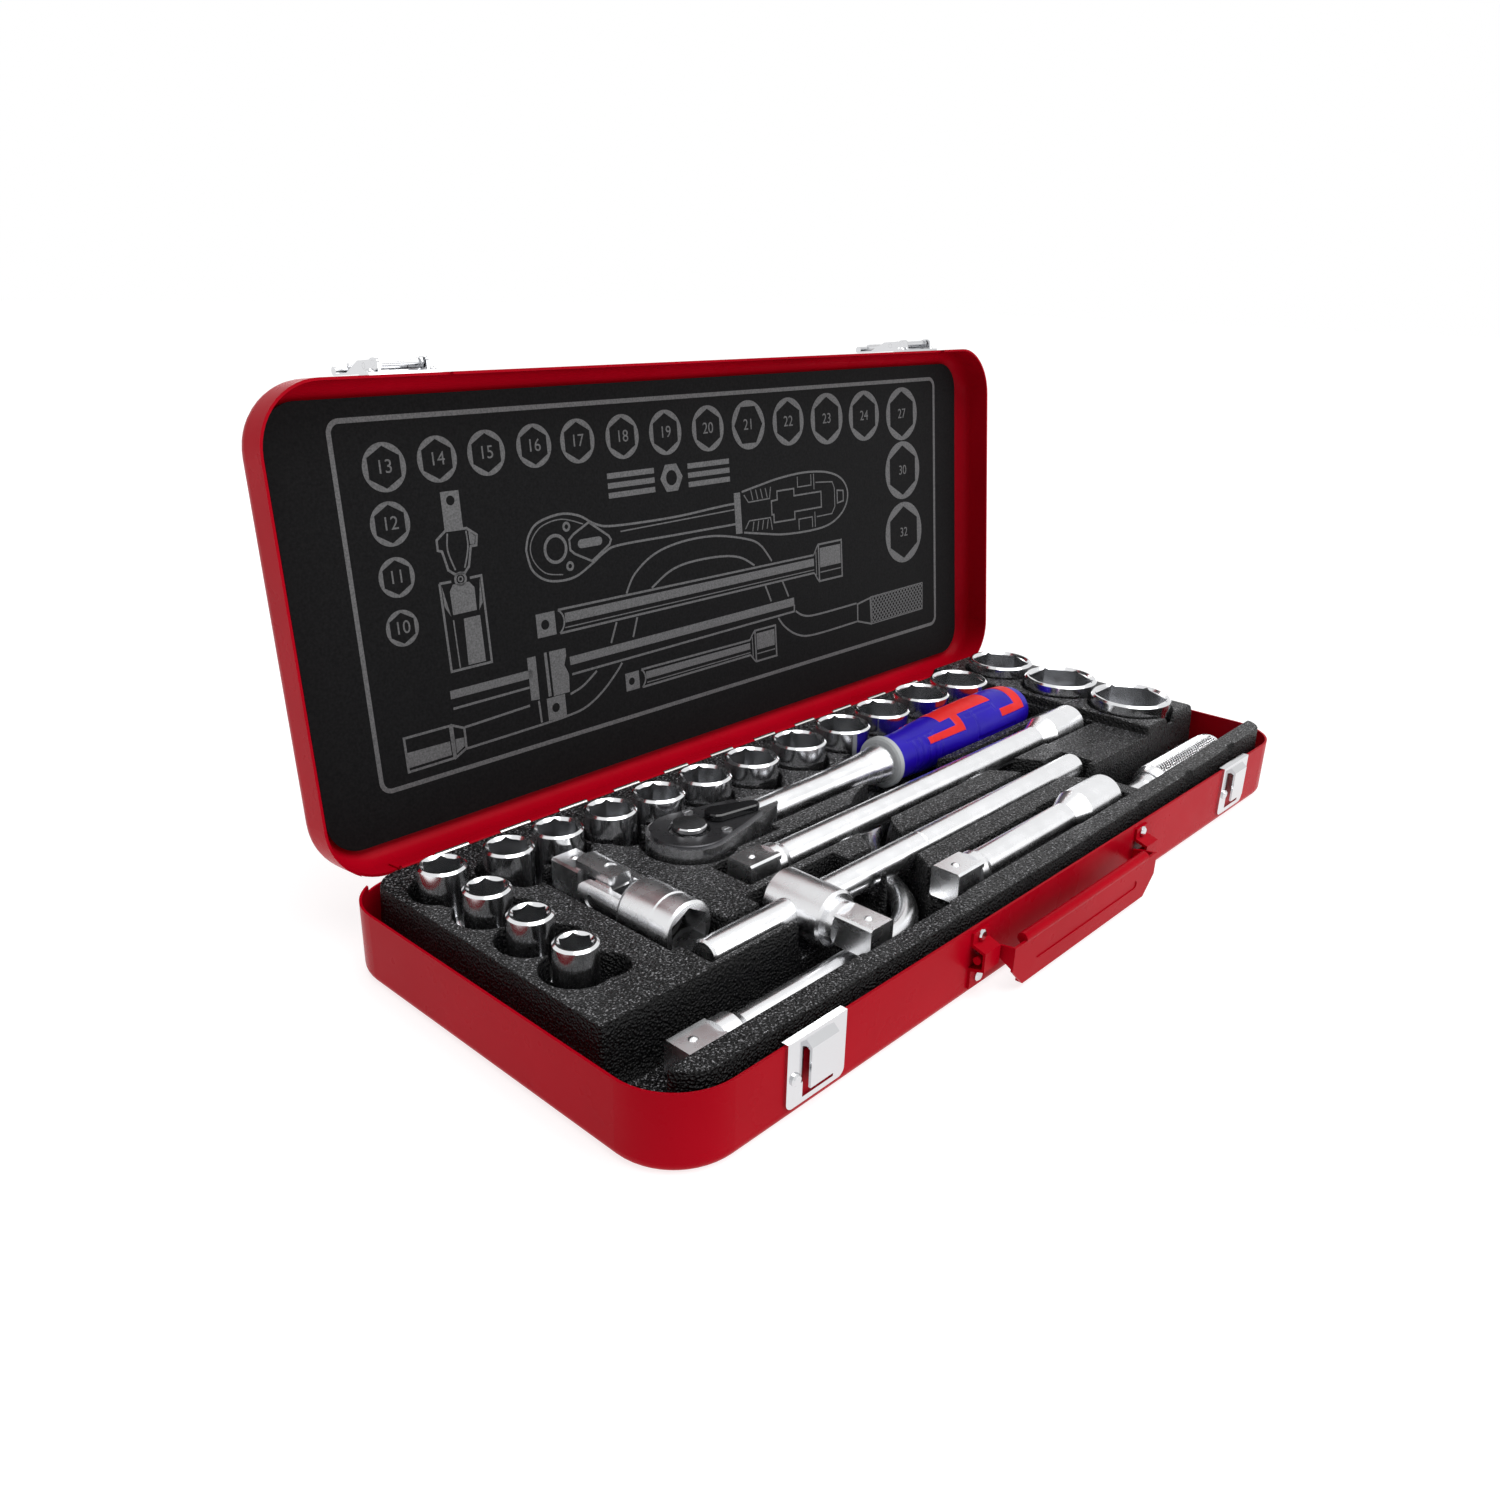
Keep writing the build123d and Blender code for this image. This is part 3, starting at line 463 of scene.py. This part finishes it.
def drive_end(ink, x0, x1, v, half):
    """Drive square with its detent ball, seen from the side."""
    cx = (x0 + x1) / 2
    ink.ring([(cx + (x1 - x0) / 2 * s, v + half * t) for s, t in square_outline()],
             circle(cx - 0.5, v, half * 0.42, 48))


def square_outline(count=48):
    out = []
    for i in range(count):
        a = 2 * math.pi * i / count
        c, s = math.cos(a), math.sin(a)
        k = 1 / max(abs(c), abs(s))
        out.append((c * k, s * k))
    return out


def draw_extension(ink, x0, x1, v, scale):
    """Extension bar: square end at the left, socket end at the right."""
    half = 5.1 * scale
    drive_end(ink, x0, x0 + 10 * scale, v, half)
    neck = x0 + 12 * scale
    socket_x = x1 - 20 * scale
    ink.line([(neck, v + half), (socket_x - 3, v + half * 0.92)], OUTLINE)
    ink.line([(neck, v - half), (socket_x - 3, v - half * 0.92)], OUTLINE)
    ink.line(arc(neck - 3 * scale, v, 5.8 * scale, 60, -60), OUTLINE * 0.8)
    ink.area([(neck + 3.4 * scale, v + half * 0.62), (socket_x - 3, v + half * 0.58),
              (socket_x - 3, v - half * 0.2), (neck + 3.4 * scale, v - half * 0.2)])
    ink.line([(neck + 3, v - half * 0.62), (socket_x - 3, v - half * 0.6)], OUTLINE * 0.5)
    ink.line(smooth([(socket_x - 3, v + half * 0.92), (socket_x, v + half * 1.75),
                     (socket_x + 1, v + half * 1.9)]), OUTLINE * 0.8)
    ink.line(smooth([(socket_x - 3, v - half * 0.92), (socket_x, v - half * 1.75),
                     (socket_x + 1, v - half * 1.9)]), OUTLINE * 0.8)
    ink.line([(socket_x + 1, v - half * 1.9), (x1, v - half * 1.9), (x1, v + half * 1.9),
              (socket_x + 1, v + half * 1.9)], OUTLINE, closed=True)
    ink.area([(socket_x + 2, v + half * 1.5), (x1 - 1, v + half * 1.5), (x1 - 1, v - half * 0.5),
              (socket_x + 2, v - half * 0.5)])
    ink.line([(socket_x + 2, v - half), (x1 - 1, v - half)], OUTLINE * 0.6)
    ink.line([(socket_x - 1.2, v + half * 1.2), (socket_x - 1.2, v - half * 1.2)], OUTLINE * 0.6)


def draw_tbar(ink):
    v = 56.8
    ink.area([(-148.2, v + 1.9), (-107.2, v + 2.2), (-107.2, v - 1.4), (-148.2, v - 1.5)])
    ink.line([(-147.6, v - 5.6), (-109.6, v - 5.2)], OUTLINE)
    ink.area([(-109.3, 64.3), (-104.9, 64.3), (-105.0, 45.4), (-109.4, 45.8)])
    ink.area([(-100.4, 64.8), (-98.9, 64.8), (-98.6, 45.4), (-100.2, 45.4)])
    ink.area([(-97.6, 64.8), (-88.7, 64.6), (-88.7, 61.4), (-90.2, 57.4), (-88.2, 53.0),
              (-88.7, 45.0), (-97.4, 45.0)])
    ink.area([(-87.0, v + 3.5), (61.5, v + 4.9), (61.5, v + 0.6), (-86.8, v - 0.2)])
    ink.line([(-86.4, v - 4.4), (61.2, v - 2.4), (61.6, v + 1)], OUTLINE)
    drive_end(ink, -101.4, -91.5, 39.8, 4.9)
    ink.line([(-105.6, 44.8), (-105.2, 35.0)], OUTLINE)


def draw_brace(ink):
    ink.line([(-171.4, 44.7), (-150.3, 44.7), (-150.1, 31.0), (-171.3, 30.8)], OUTLINE,
             closed=True)
    ink.area([(-170.8, 38.6), (-151.2, 38.4), (-151.1, 32.6), (-170.8, 32.4)])
    ink.line([(-149.4, 44.7), (-143.8, 42.2), (-143.9, 33.6), (-149.4, 31.0)], OUTLINE, closed=True)
    ink.area([(-148.6, 38.6), (-144.6, 38.4), (-144.6, 34.8), (-148.6, 32.6)])
    ink.line([(-143.6, 42.4), (-110.4, 43.8)], OUTLINE)
    ink.line(smooth([(-143.9, 33.4), (-115, 33.9), (-91.8, 34.6), (-80.4, 36.2), (-70.1, 41.2),
                     (-61.4, 47.9), (-57.6, 51.6)]), OUTLINE)
    ink.line(smooth([(-88.4, 43.9), (-81.1, 46.0), (-72.6, 51.0)]), OUTLINE)
    ink.line(smooth([(-49.8, 62.0), (-46.4, 70.6)]), OUTLINE)
    ink.line(smooth([(-63.0, 61.8), (-58.8, 70.6)]), OUTLINE)
    ink.line(smooth([(-51.6, 82.4), (-45.7, 90.4), (-32.8, 97.6), (-15.0, 100.8), (6.5, 100.6),
                     (27.1, 96.6), (37.7, 92.2), (45.8, 83.0)]), OUTLINE)
    ink.line(smooth([(-36.2, 82.4), (-24.3, 88.3), (-11.1, 90.6), (9.0, 90.4), (22.9, 88.0),
                     (33.0, 82.6)]), OUTLINE)
    ink.line([(40.2, 71.2), (44.0, 62.6)], OUTLINE)
    ink.line([(53.2, 71.4), (57.4, 62.9)], OUTLINE)
    ink.line(smooth([(48.8, 53.1), (53.6, 47.6), (63.1, 41.7), (76.6, 39.2), (113.0, 39.6)]),
             OUTLINE)
    ink.line(smooth([(62.4, 54.4), (68.4, 51.0), (79.1, 49.6), (113.0, 49.8)]), OUTLINE)
    ink.line([(114.0, 49.2), (125.3, 50.8), (125.9, 36.0), (113.8, 39.6)], OUTLINE, closed=True)
    ink.line([(126.0, 51.2), (174.8, 51.6), (174.6, 36.2), (126.4, 35.9)], OUTLINE * 0.6,
             closed=True)
    pitch, low, high = 2.9, 36.4, 51.2
    left, right, slant = 126.6, 174.2, 0.95
    for i in range(-5, 17):
        for sign in (1, -1):
            a = left + i * pitch
            b = a + (high - low) * slant
            p, q = (a, low), (b, high)
            if p[0] < left:
                p = (left, low + (left - a) / slant)
            if q[0] > right:
                q = (right, low + (right - a) / slant)
            if q[0] - p[0] < 1.0:
                continue
            if sign < 0:
                p, q = (p[0], low + high - p[1]), (q[0], low + high - q[1])
            ink.line([p, q], 0.7)


def draw_swivel(ink):
    ink.ring([(-137.0 + 4.2 * s, 129.3 + 7.3 * t) for s, t in square_outline()],
             circle(-137.0, 133.0, 1.9))
    ink.line([(-145.4, 118.6), (-141.0, 121.7), (-131.2, 121.6), (-126.8, 118.4), (-127.6, 114.4),
              (-130.2, 114.4), (-132.2, 106.6), (-134.4, 104.4), (-139.0, 104.4), (-141.8, 106.4),
              (-143.6, 114.0), (-145.4, 114.6)], OUTLINE, closed=True)
    ink.area([(-130.6, 120.6), (-127.6, 118.0), (-128.4, 115.0), (-130.4, 115.2)])
    ink.line(smooth([(-140.2, 120.6), (-141.0, 114.0), (-138.6, 106.0)]), OUTLINE * 0.7)
    ink.line(smooth([(-131.6, 120.6), (-131.6, 114.0), (-134.2, 106.2)]), OUTLINE * 0.7)
    ink.ring(circle(-136.8, 102.2, 2.9), circle(-136.8, 102.2, 1.9))
    ink.ring(circle(-136.8, 102.2, 1.3), circle(-136.8, 102.2, 0.7))
    ink.line([(-146.6, 101.8), (-146.2, 66.3), (-126.8, 66.4), (-127.0, 102.2), (-132.4, 102.0)],
             OUTLINE)
    ink.line([(-146.6, 101.8), (-141.2, 101.8)], OUTLINE)
    ink.area([(-145.8, 101.0), (-143.2, 88.2), (-145.6, 92.4)])
    ink.area([(-127.8, 101.4), (-127.8, 91.4), (-129.8, 88.6)])
    ink.area([(-142.4, 98.0), (-140.6, 100.6), (-133.0, 100.6), (-130.8, 98.0), (-131.0, 88.8),
              (-142.2, 88.6)])
    ink.area([(-137.6, 86.4), (-129.8, 86.5), (-129.6, 67.4), (-138.0, 67.4)])
    ink.line([(-142.4, 86.6), (-142.0, 67.0)], OUTLINE * 0.6)


def draw_ratchet(ink):
    upper = smooth([(21.2, 114.2), (10, 113.9), (-20, 112.6), (-55.1, 113.1), (-66, 115.2),
                    (-74.1, 119.6), (-84, 121.6), (-96.0, 119.6), (-101.6, 115.0), (-103.8, 109.0)])
    lower = smooth([(-103.8, 109.0), (-101.9, 100.8), (-96.0, 95.6), (-88.0, 93.8), (-79.0, 94.4),
                    (-69.6, 98.5), (-62.1, 102.4), (-53.2, 104.4), (-20, 104.4), (21.2, 104.4)])
    ink.line(upper + lower[1:], OUTLINE)
    ink.line(smooth([(-72.6, 116.0), (-84.0, 119.4), (-95.0, 117.6), (-101.0, 111.6),
                     (-100.8, 104.6), (-95.0, 98.2), (-86.0, 96.2)]), OUTLINE * 0.5)
    ink.line([(-52.0, 110.2), (20.8, 111.4)], OUTLINE * 0.6)
    ink.ring(circle(-88.6, 107.5, 6.3), circle(-88.6, 107.5, 4.9))
    for v in (116.0, 99.2):
        ink.ring(circle(-81.8, v, 2.1), circle(-81.8, v, 1.0))
    ink.line([(-80.9, 110.4), (-78.4, 112.4), (-69.5, 116.4), (-59.0, 109.2), (-57.9, 107.4),
              (-59.0, 105.4), (-69.5, 99.6), (-78.6, 104.0), (-80.9, 106.0)], OUTLINE, closed=True)
    ink.area(arc(-74.6, 107.8, 1.9, 90, 270) + arc(-64.8, 107.8, 1.9, -90, 90))
    ink.area([(21.0, 119.2), (25.4, 119.2), (25.6, 99.4), (21.2, 99.6)])
    outline = smooth([(26.6, 119.2), (39.7, 121.2), (54.6, 123.2), (73.9, 124.2), (91.8, 122.6),
                      (103.4, 118.0), (108.0, 110.4), (104.6, 102.2), (94.6, 96.4), (80.2, 94.4),
                      (56.6, 95.0), (40.1, 97.4), (26.8, 99.6)])
    ink.line(outline, OUTLINE)
    for x in (33.0, 36.5, 40.0, 43.5):
        ink.line([(x, 119.4), (x + 1.2, 114.6)], OUTLINE * 0.6)
        ink.line([(x, 99.4), (x + 1.2, 104.0)], OUTLINE * 0.6)
    ink.line([(28.0, 117.6), (31.0, 113.8), (46.4, 114.0), (47.4, 119.6)], OUTLINE * 0.6)
    ink.line([(28.0, 101.2), (31.0, 104.8), (46.4, 104.6), (47.4, 98.4)], OUTLINE * 0.6)
    ink.line([(47.6, 112.6), (52.0, 112.8), (52.0, 117.0), (64.8, 117.0), (64.8, 113.4),
              (86.0, 113.4), (86.0, 105.4), (64.8, 105.4), (64.8, 101.6), (49.0, 101.8),
              (49.0, 105.8), (47.6, 105.8)], OUTLINE * 0.8, closed=True)
    ink.line([(67.8, 122.6), (67.8, 117.4), (78.4, 117.4), (78.4, 122.8)], OUTLINE * 0.6)
    ink.line([(67.8, 95.8), (67.8, 101.2), (78.4, 101.2), (78.4, 95.8)], OUTLINE * 0.6)
    ink.line([(80.6, 122.8), (80.6, 115.0)], OUTLINE * 0.6)
    ink.line([(80.6, 103.6), (80.6, 95.6)], OUTLINE * 0.6)
    ink.line([(82.0, 118.4), (95.4, 117.4), (97.0, 114.0), (97.0, 104.4), (94.4, 101.0),
              (82.0, 100.8)], OUTLINE * 0.6)
    ink.line([(99.2, 112.6), (104.2, 112.0), (104.2, 106.6), (99.2, 106.0)], OUTLINE * 0.8,
             closed=True)


def draw_emblem(ink):
    """Plain nut shape between two bars above the ratchet."""
    x, v = -19.0, 130.4
    ink.ring(polygon_ring(x, v, 7.0, 6, 0.0), circle(x, v, 3.4))
    for side in (-1, 1):
        for level in (-4.2, 0.0, 4.2):
            near, far = x + side * 10.5, x + side * 38.0
            ink.area([(near, v + level - 1.2), (far, v + level - 1.2), (far, v + level + 1.2),
                      (near, v + level + 1.2)][::side])


def make_print():
    ink = Ink()
    ink.line(rounded_frame(-183.6, 187.6, 25.4, 165.6, 4.5)[:-1], FRAME_LINE, closed=True)
    draw_icons(ink)
    draw_extension(ink, -102.6, 101.4, 76.6, 1.0)
    draw_extension(ink, -56.4, 46.2, 41.9, 0.82)
    draw_tbar(ink)
    draw_brace(ink)
    draw_swivel(ink)
    draw_ratchet(ink)
    draw_emblem(ink)
    mesh = bpy.data.meshes.new("lid_print")
    bmesh.ops.remove_doubles(ink.bm, verts=ink.bm.verts, dist=1e-7)
    bmesh.ops.recalc_face_normals(ink.bm, faces=ink.bm.faces)
    ink.bm.to_mesh(mesh)
    piece = bpy.data.objects.new("lid_print", mesh)
    scene.collection.objects.link(piece)
    s = Shader("print_ink", (0.09, 0.09, 0.092), 0.5)
    s.vary_color(s.noise(1300, 2), (0.055, 0.055, 0.057), (0.13, 0.13, 0.134))
    s.bump(s.noise(1500, 2), 0.2, 0.0002)
    mesh.materials.append(s.material)
    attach(piece, "lid")


make_print()


# ---- moulded tray: a height map of the CAD tray with rolled edges ----
CELL = 0.5 * MM
MARGIN_CELLS = 6
EDGE_RADIUS = 1.4 * MM
MIN_HEIGHT = 0.1 * MM
KEPT_FACES = 0.4


def ball_offsets(radius):
    reach = int(radius / CELL)
    for i in range(-reach, reach + 1):
        for j in range(-reach, reach + 1):
            d = math.hypot(i, j) * CELL
            if d <= radius:
                yield i, j, math.sqrt(radius * radius - d * d) - radius


def shifted(grid, i, j):
    return np.roll(np.roll(grid, i, 0), j, 1)


def rolled(grid, radius):
    """Rounds every edge that stands out, as a ball of that radius would touch it from inside."""
    low = None
    for i, j, drop in ball_offsets(radius):
        moved = shifted(grid, i, j) - drop
        low = moved if low is None else np.minimum(low, moved)
    high = None
    for i, j, drop in ball_offsets(radius):
        moved = shifted(low, i, j) + drop
        high = moved if high is None else np.maximum(high, moved)
    return high


def tray_heights(lo, hi):
    tree = BVHTree.FromObject(nodes["tray"], bpy.context.evaluated_depsgraph_get())
    nx = int((hi.x - lo.x) / CELL) + 2 * MARGIN_CELLS
    ny = int((hi.y - lo.y) / CELL) + 2 * MARGIN_CELLS
    xs = lo.x + (np.arange(nx) - MARGIN_CELLS + 0.5) * CELL
    ys = lo.y + (np.arange(ny) - MARGIN_CELLS + 0.5) * CELL
    grid = np.full((nx, ny), lo.z)
    down = Vector((0, 0, -1))
    for i, x in enumerate(xs):
        for j, y in enumerate(ys):
            hit = tree.ray_cast(Vector((x, y, hi.z + 0.01)), down)[0]
            if hit:
                grid[i, j] = hit.z
    return xs, ys, grid


FLUTE_PITCH = 47 * MM
FLUTE_HALF = 4.5 * MM
FLUTE_DEPTH = 7 * MM
FLUTE_REACH = 2.6 * MM


def flute_limit(xs, ys, top):
    """Shallow upright flutes pressed into the front face of the ridge, at an even pitch."""
    along = np.abs((xs / FLUTE_PITCH) % 1.0 - 0.5) * FLUTE_PITCH
    press = np.clip(1 - (along / FLUTE_HALF) ** 2, 0, 1)
    near = np.clip((ys[0] + MARGIN_CELLS * CELL + FLUTE_REACH - ys) / FLUTE_REACH, 0, 1)
    return top - FLUTE_DEPTH * press[:, None] * near[None, :]


def make_tray():
    lo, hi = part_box("tray")
    xs, ys, grid = tray_heights(lo, hi)
    grid = np.minimum(grid, flute_limit(xs, ys, hi.z))
    grid = np.minimum(grid, rolled(grid, EDGE_RADIUS))
    beside = (shifted(grid, 1, 0) + shifted(grid, -1, 0) + shifted(grid, 0, 1)
              + shifted(grid, 0, -1))
    corners = (shifted(grid, 1, 1) + shifted(grid, 1, -1) + shifted(grid, -1, 1)
               + shifted(grid, -1, -1))
    blurred = (4 * grid + 2 * beside + corners) / 16
    inside = grid > lo.z + MIN_HEIGHT
    keep = (inside | shifted(inside, 1, 0) | shifted(inside, -1, 0) | shifted(inside, 0, 1)
            | shifted(inside, 0, -1))
    index = -np.ones(grid.shape, int)
    index[keep] = np.arange(keep.sum())
    ii, jj = np.nonzero(keep)
    co = np.stack([xs[ii], ys[jj], blurred[ii, jj]], 1)
    quads = np.stack([index[:-1, :-1], index[1:, :-1], index[1:, 1:], index[:-1, 1:]], -1)
    quads = quads.reshape(-1, 4)
    quads = quads[(quads >= 0).all(1)]
    mesh = bpy.data.meshes.new("tray_moulding")
    mesh.from_pydata(co.tolist(), [], quads.tolist())
    mesh.polygons.foreach_set("use_smooth", np.ones(len(mesh.polygons), bool))
    mesh.materials.append(TRAY)
    piece = bpy.data.objects.new("tray_moulding", mesh)
    scene.collection.objects.link(piece)
    thin = piece.modifiers.new("thin", "DECIMATE")
    thin.ratio = KEPT_FACES
    apply_modifiers(piece)
    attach(piece, "case")
    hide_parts("tray")


def apply_modifiers(piece):
    mesh = bpy.data.meshes.new_from_object(piece.evaluated_get(
        bpy.context.evaluated_depsgraph_get()))
    old = piece.data
    piece.modifiers.clear()
    piece.data = mesh
    bpy.data.meshes.remove(old)


make_tray()


# ---- ratchet grip ----
def lathe(name, length, start, centre, radius_at, along, around):
    """Grid wrapped about a line along X; radius_at(dx, angle) in metres, angle 0 at the top."""
    verts, faces = [], []
    for i in range(along + 1):
        dx = length * i / along
        for j in range(around):
            a = 2 * math.pi * j / around
            r = radius_at(dx, a if a <= math.pi else a - 2 * math.pi)
            verts.append((start + dx, centre.y - r * math.sin(a), centre.z + r * math.cos(a)))
    for i in range(along):
        for j in range(around):
            k = (j + 1) % around
            faces.append((i * around + j, (i + 1) * around + j,
                          (i + 1) * around + k, i * around + k))
    faces.append(tuple(range(around)))
    faces.append(tuple(along * around + j for j in reversed(range(around))))
    mesh = bpy.data.meshes.new(name)
    mesh.from_pydata(verts, [], faces)
    piece = bpy.data.objects.new(name, mesh)
    scene.collection.objects.link(piece)
    return piece


def box_distance(x, y, x0, x1, y0, y1):
    """Signed distance to a rectangle, negative inside."""
    dx = max(x0 - x, x - x1)
    dy = max(y0 - y, y - y1)
    if dx > 0 and dy > 0:
        return math.hypot(dx, dy)
    return max(dx, dy)


# red inlays as (dx from, dx to, arc from, arc to), millimetres, arc 0 along the top line
INLAYS = [(36, 80, -5.6, 5.6), (44.5, 50, 5, 13.5), (22, 50, 10.5, 14.5), (96, 104, -15, 15),
          (82, 104, 11.5, 15.5), (66, 104, -16, -10), (36, 42, -13, -5), (20, 42, -14, -10)]
BELOW = [(38, 78, -5.2, 5.2), (96, 104, -12, 12)]
GROOVES = [(8.5, 28, 7.6, 8.2), (8.5, 28, -8.2, -7.6), (60, 61, 6, 22), (78, 79, 6, 11),
           (60, 94, 21, 22), (30, 31, 14, 24), (60, 61, -24, -17), (54, 78, 8.2, 8.9)]
RIBS = (12.0, 16.5, 21.0, 25.5)
RIB_ARC = (8, 34)
RIB_HALF, RIB_DEPTH = 0.9, 0.55
ARC_RADIUS = 13.2
INLAY_PROUD, INLAY_SLOPE = 0.22, 0.6
SEAM_OFFSET, SEAM_HALF, SEAM_DEPTH = 0.35, 0.4, 0.3
GROOVE_EDGE, GROOVE_DEPTH = 0.5, 0.35
# radius of the grip at each distance from its collar, millimetres
GRIP_OUTLINE = [(0, 10.6), (1, 10.9), (12, 11.0), (30, 12.3), (52, 13.7), (72, 14.1), (92, 14.0),
                (104, 13.1), (111, 11.2), (115, 8.4), (117, 5.2), (117.6, 0.0)]


def inlay_distance(dx, arc_top, arc_low):
    top = min(box_distance(dx, arc_top, *b) for b in INLAYS)
    low = min(box_distance(dx, arc_low, *b) for b in BELOW)
    return min(top, low)


def make_grip():
    lo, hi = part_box("ratchet_grip")
    centre = (lo + hi) / 2
    length = hi.x - lo.x

    def base_radius(dx):
        for (x0, r0), (x1, r1) in zip(GRIP_OUTLINE, GRIP_OUTLINE[1:]):
            if dx <= x1:
                t = (dx - x0) / (x1 - x0)
                if x0 < 100:
                    t = t * t * (3 - 2 * t) * 0.5 + t * 0.5
                return r0 + (r1 - r0) * t
        return 0.0

    def arcs(angle):
        low = math.pi - abs(angle)
        return angle * ARC_RADIUS, math.copysign(low, angle) * ARC_RADIUS

    def radius_at(dx_m, angle):
        dx = dx_m / MM
        r = base_radius(dx)
        top, low = arcs(angle)
        d = inlay_distance(dx, top, low)
        r += INLAY_PROUD * min(1.0, max(0.0, (INLAY_SLOPE / 2 - d) / INLAY_SLOPE))
        if abs(d - SEAM_OFFSET) < SEAM_HALF:
            r -= SEAM_DEPTH * (1 - abs(d - SEAM_OFFSET) / SEAM_HALF)
        for x0, x1, a0, a1 in GROOVES:
            g = box_distance(dx, top, x0, x1, a0, a1)
            if g < GROOVE_EDGE:
                r -= GROOVE_DEPTH * (1 - max(0.0, g) / GROOVE_EDGE)
        if RIB_ARC[0] < abs(top) < RIB_ARC[1]:
            for x in RIBS:
                if abs(dx - x) < RIB_HALF:
                    r -= RIB_DEPTH * (1 - (abs(dx - x) / RIB_HALF) ** 2)
        return max(r, 0.0) * MM

    along, around = 260, 168
    piece = lathe("grip_shell", length, lo.x, centre, radius_at, along, around)
    mesh = piece.data
    mesh.materials.append(BLUE)
    mesh.materials.append(GRIP_RED)
    for poly in mesh.polygons[:along * around]:
        i, j = divmod(poly.index, around)
        a = 2 * math.pi * (j + 0.5) / around
        top, low = arcs(a if a <= math.pi else a - 2 * math.pi)
        if inlay_distance((i + 0.5) * length / MM / along, top, low) < 0:
            poly.material_index = 1
        poly.use_smooth = True
    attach(piece, "ratchet")
    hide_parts("ratchet_grip", "ratchet_grip_inlay")


make_grip()


# ---- knurled brace grip ----
KNURL_STARTS = 26
KNURL_PITCH = 2.3
KNURL_DEPTH = 0.9
NECK_RADIUS = 7.5
PLAIN_FRONT, PLAIN_BACK = 5, 3.5


def make_knurled_grip():
    lo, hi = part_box("brace_grip")
    centre = (lo + hi) / 2
    length = (hi.x - lo.x) / MM
    full = (hi.z - lo.z) / 2 / MM
    lead = 1 / KNURL_PITCH

    def ridge(t):
        t = t % 1.0
        return 1 - abs(2 * t - 1)

    def radius_at(dx_m, angle):
        dx = dx_m / MM
        end = min(dx / 4.0, (length - dx) / 2.0, 1.0)
        r = NECK_RADIUS + (full - NECK_RADIUS) * min(1.0, max(0.0, end) ** 0.7)
        if PLAIN_FRONT < dx < length - PLAIN_BACK:
            turn = angle / (2 * math.pi) * KNURL_STARTS
            r -= KNURL_DEPTH * (1 - min(ridge(turn + dx * lead), ridge(turn - dx * lead)) * 1.3)
        return r * MM

    piece = lathe("knurled_grip", hi.x - lo.x, lo.x, centre, radius_at, 330, 208)
    piece.data.materials.append(SATIN)
    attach(piece, "brace_handle")
    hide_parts("brace_grip")


make_knurled_grip()


def make_floor():
    """Pale studio floor that stays even to the horizon: it glows a little where no light falls."""
    mesh = bpy.data.meshes.new("floor")
    reach, low = 8.0, cad_box[0][2]
    corners = [(sx * reach, sy * reach, low) for sx, sy in ((-1, -1), (1, -1), (1, 1), (-1, 1))]
    mesh.from_pydata(corners, [], [(0, 1, 2, 3)])
    floor = bpy.data.objects.new("floor", mesh)
    scene.collection.objects.link(floor)
    s = Shader("floor_paint", (0.35, 0.35, 0.35), 0.9)
    s.set("Specular IOR Level", 0.0)
    s.set("Emission Color", (1, 1, 1, 1)).set("Emission Strength", 0.8)
    mesh.materials.append(s.material)


make_floor()
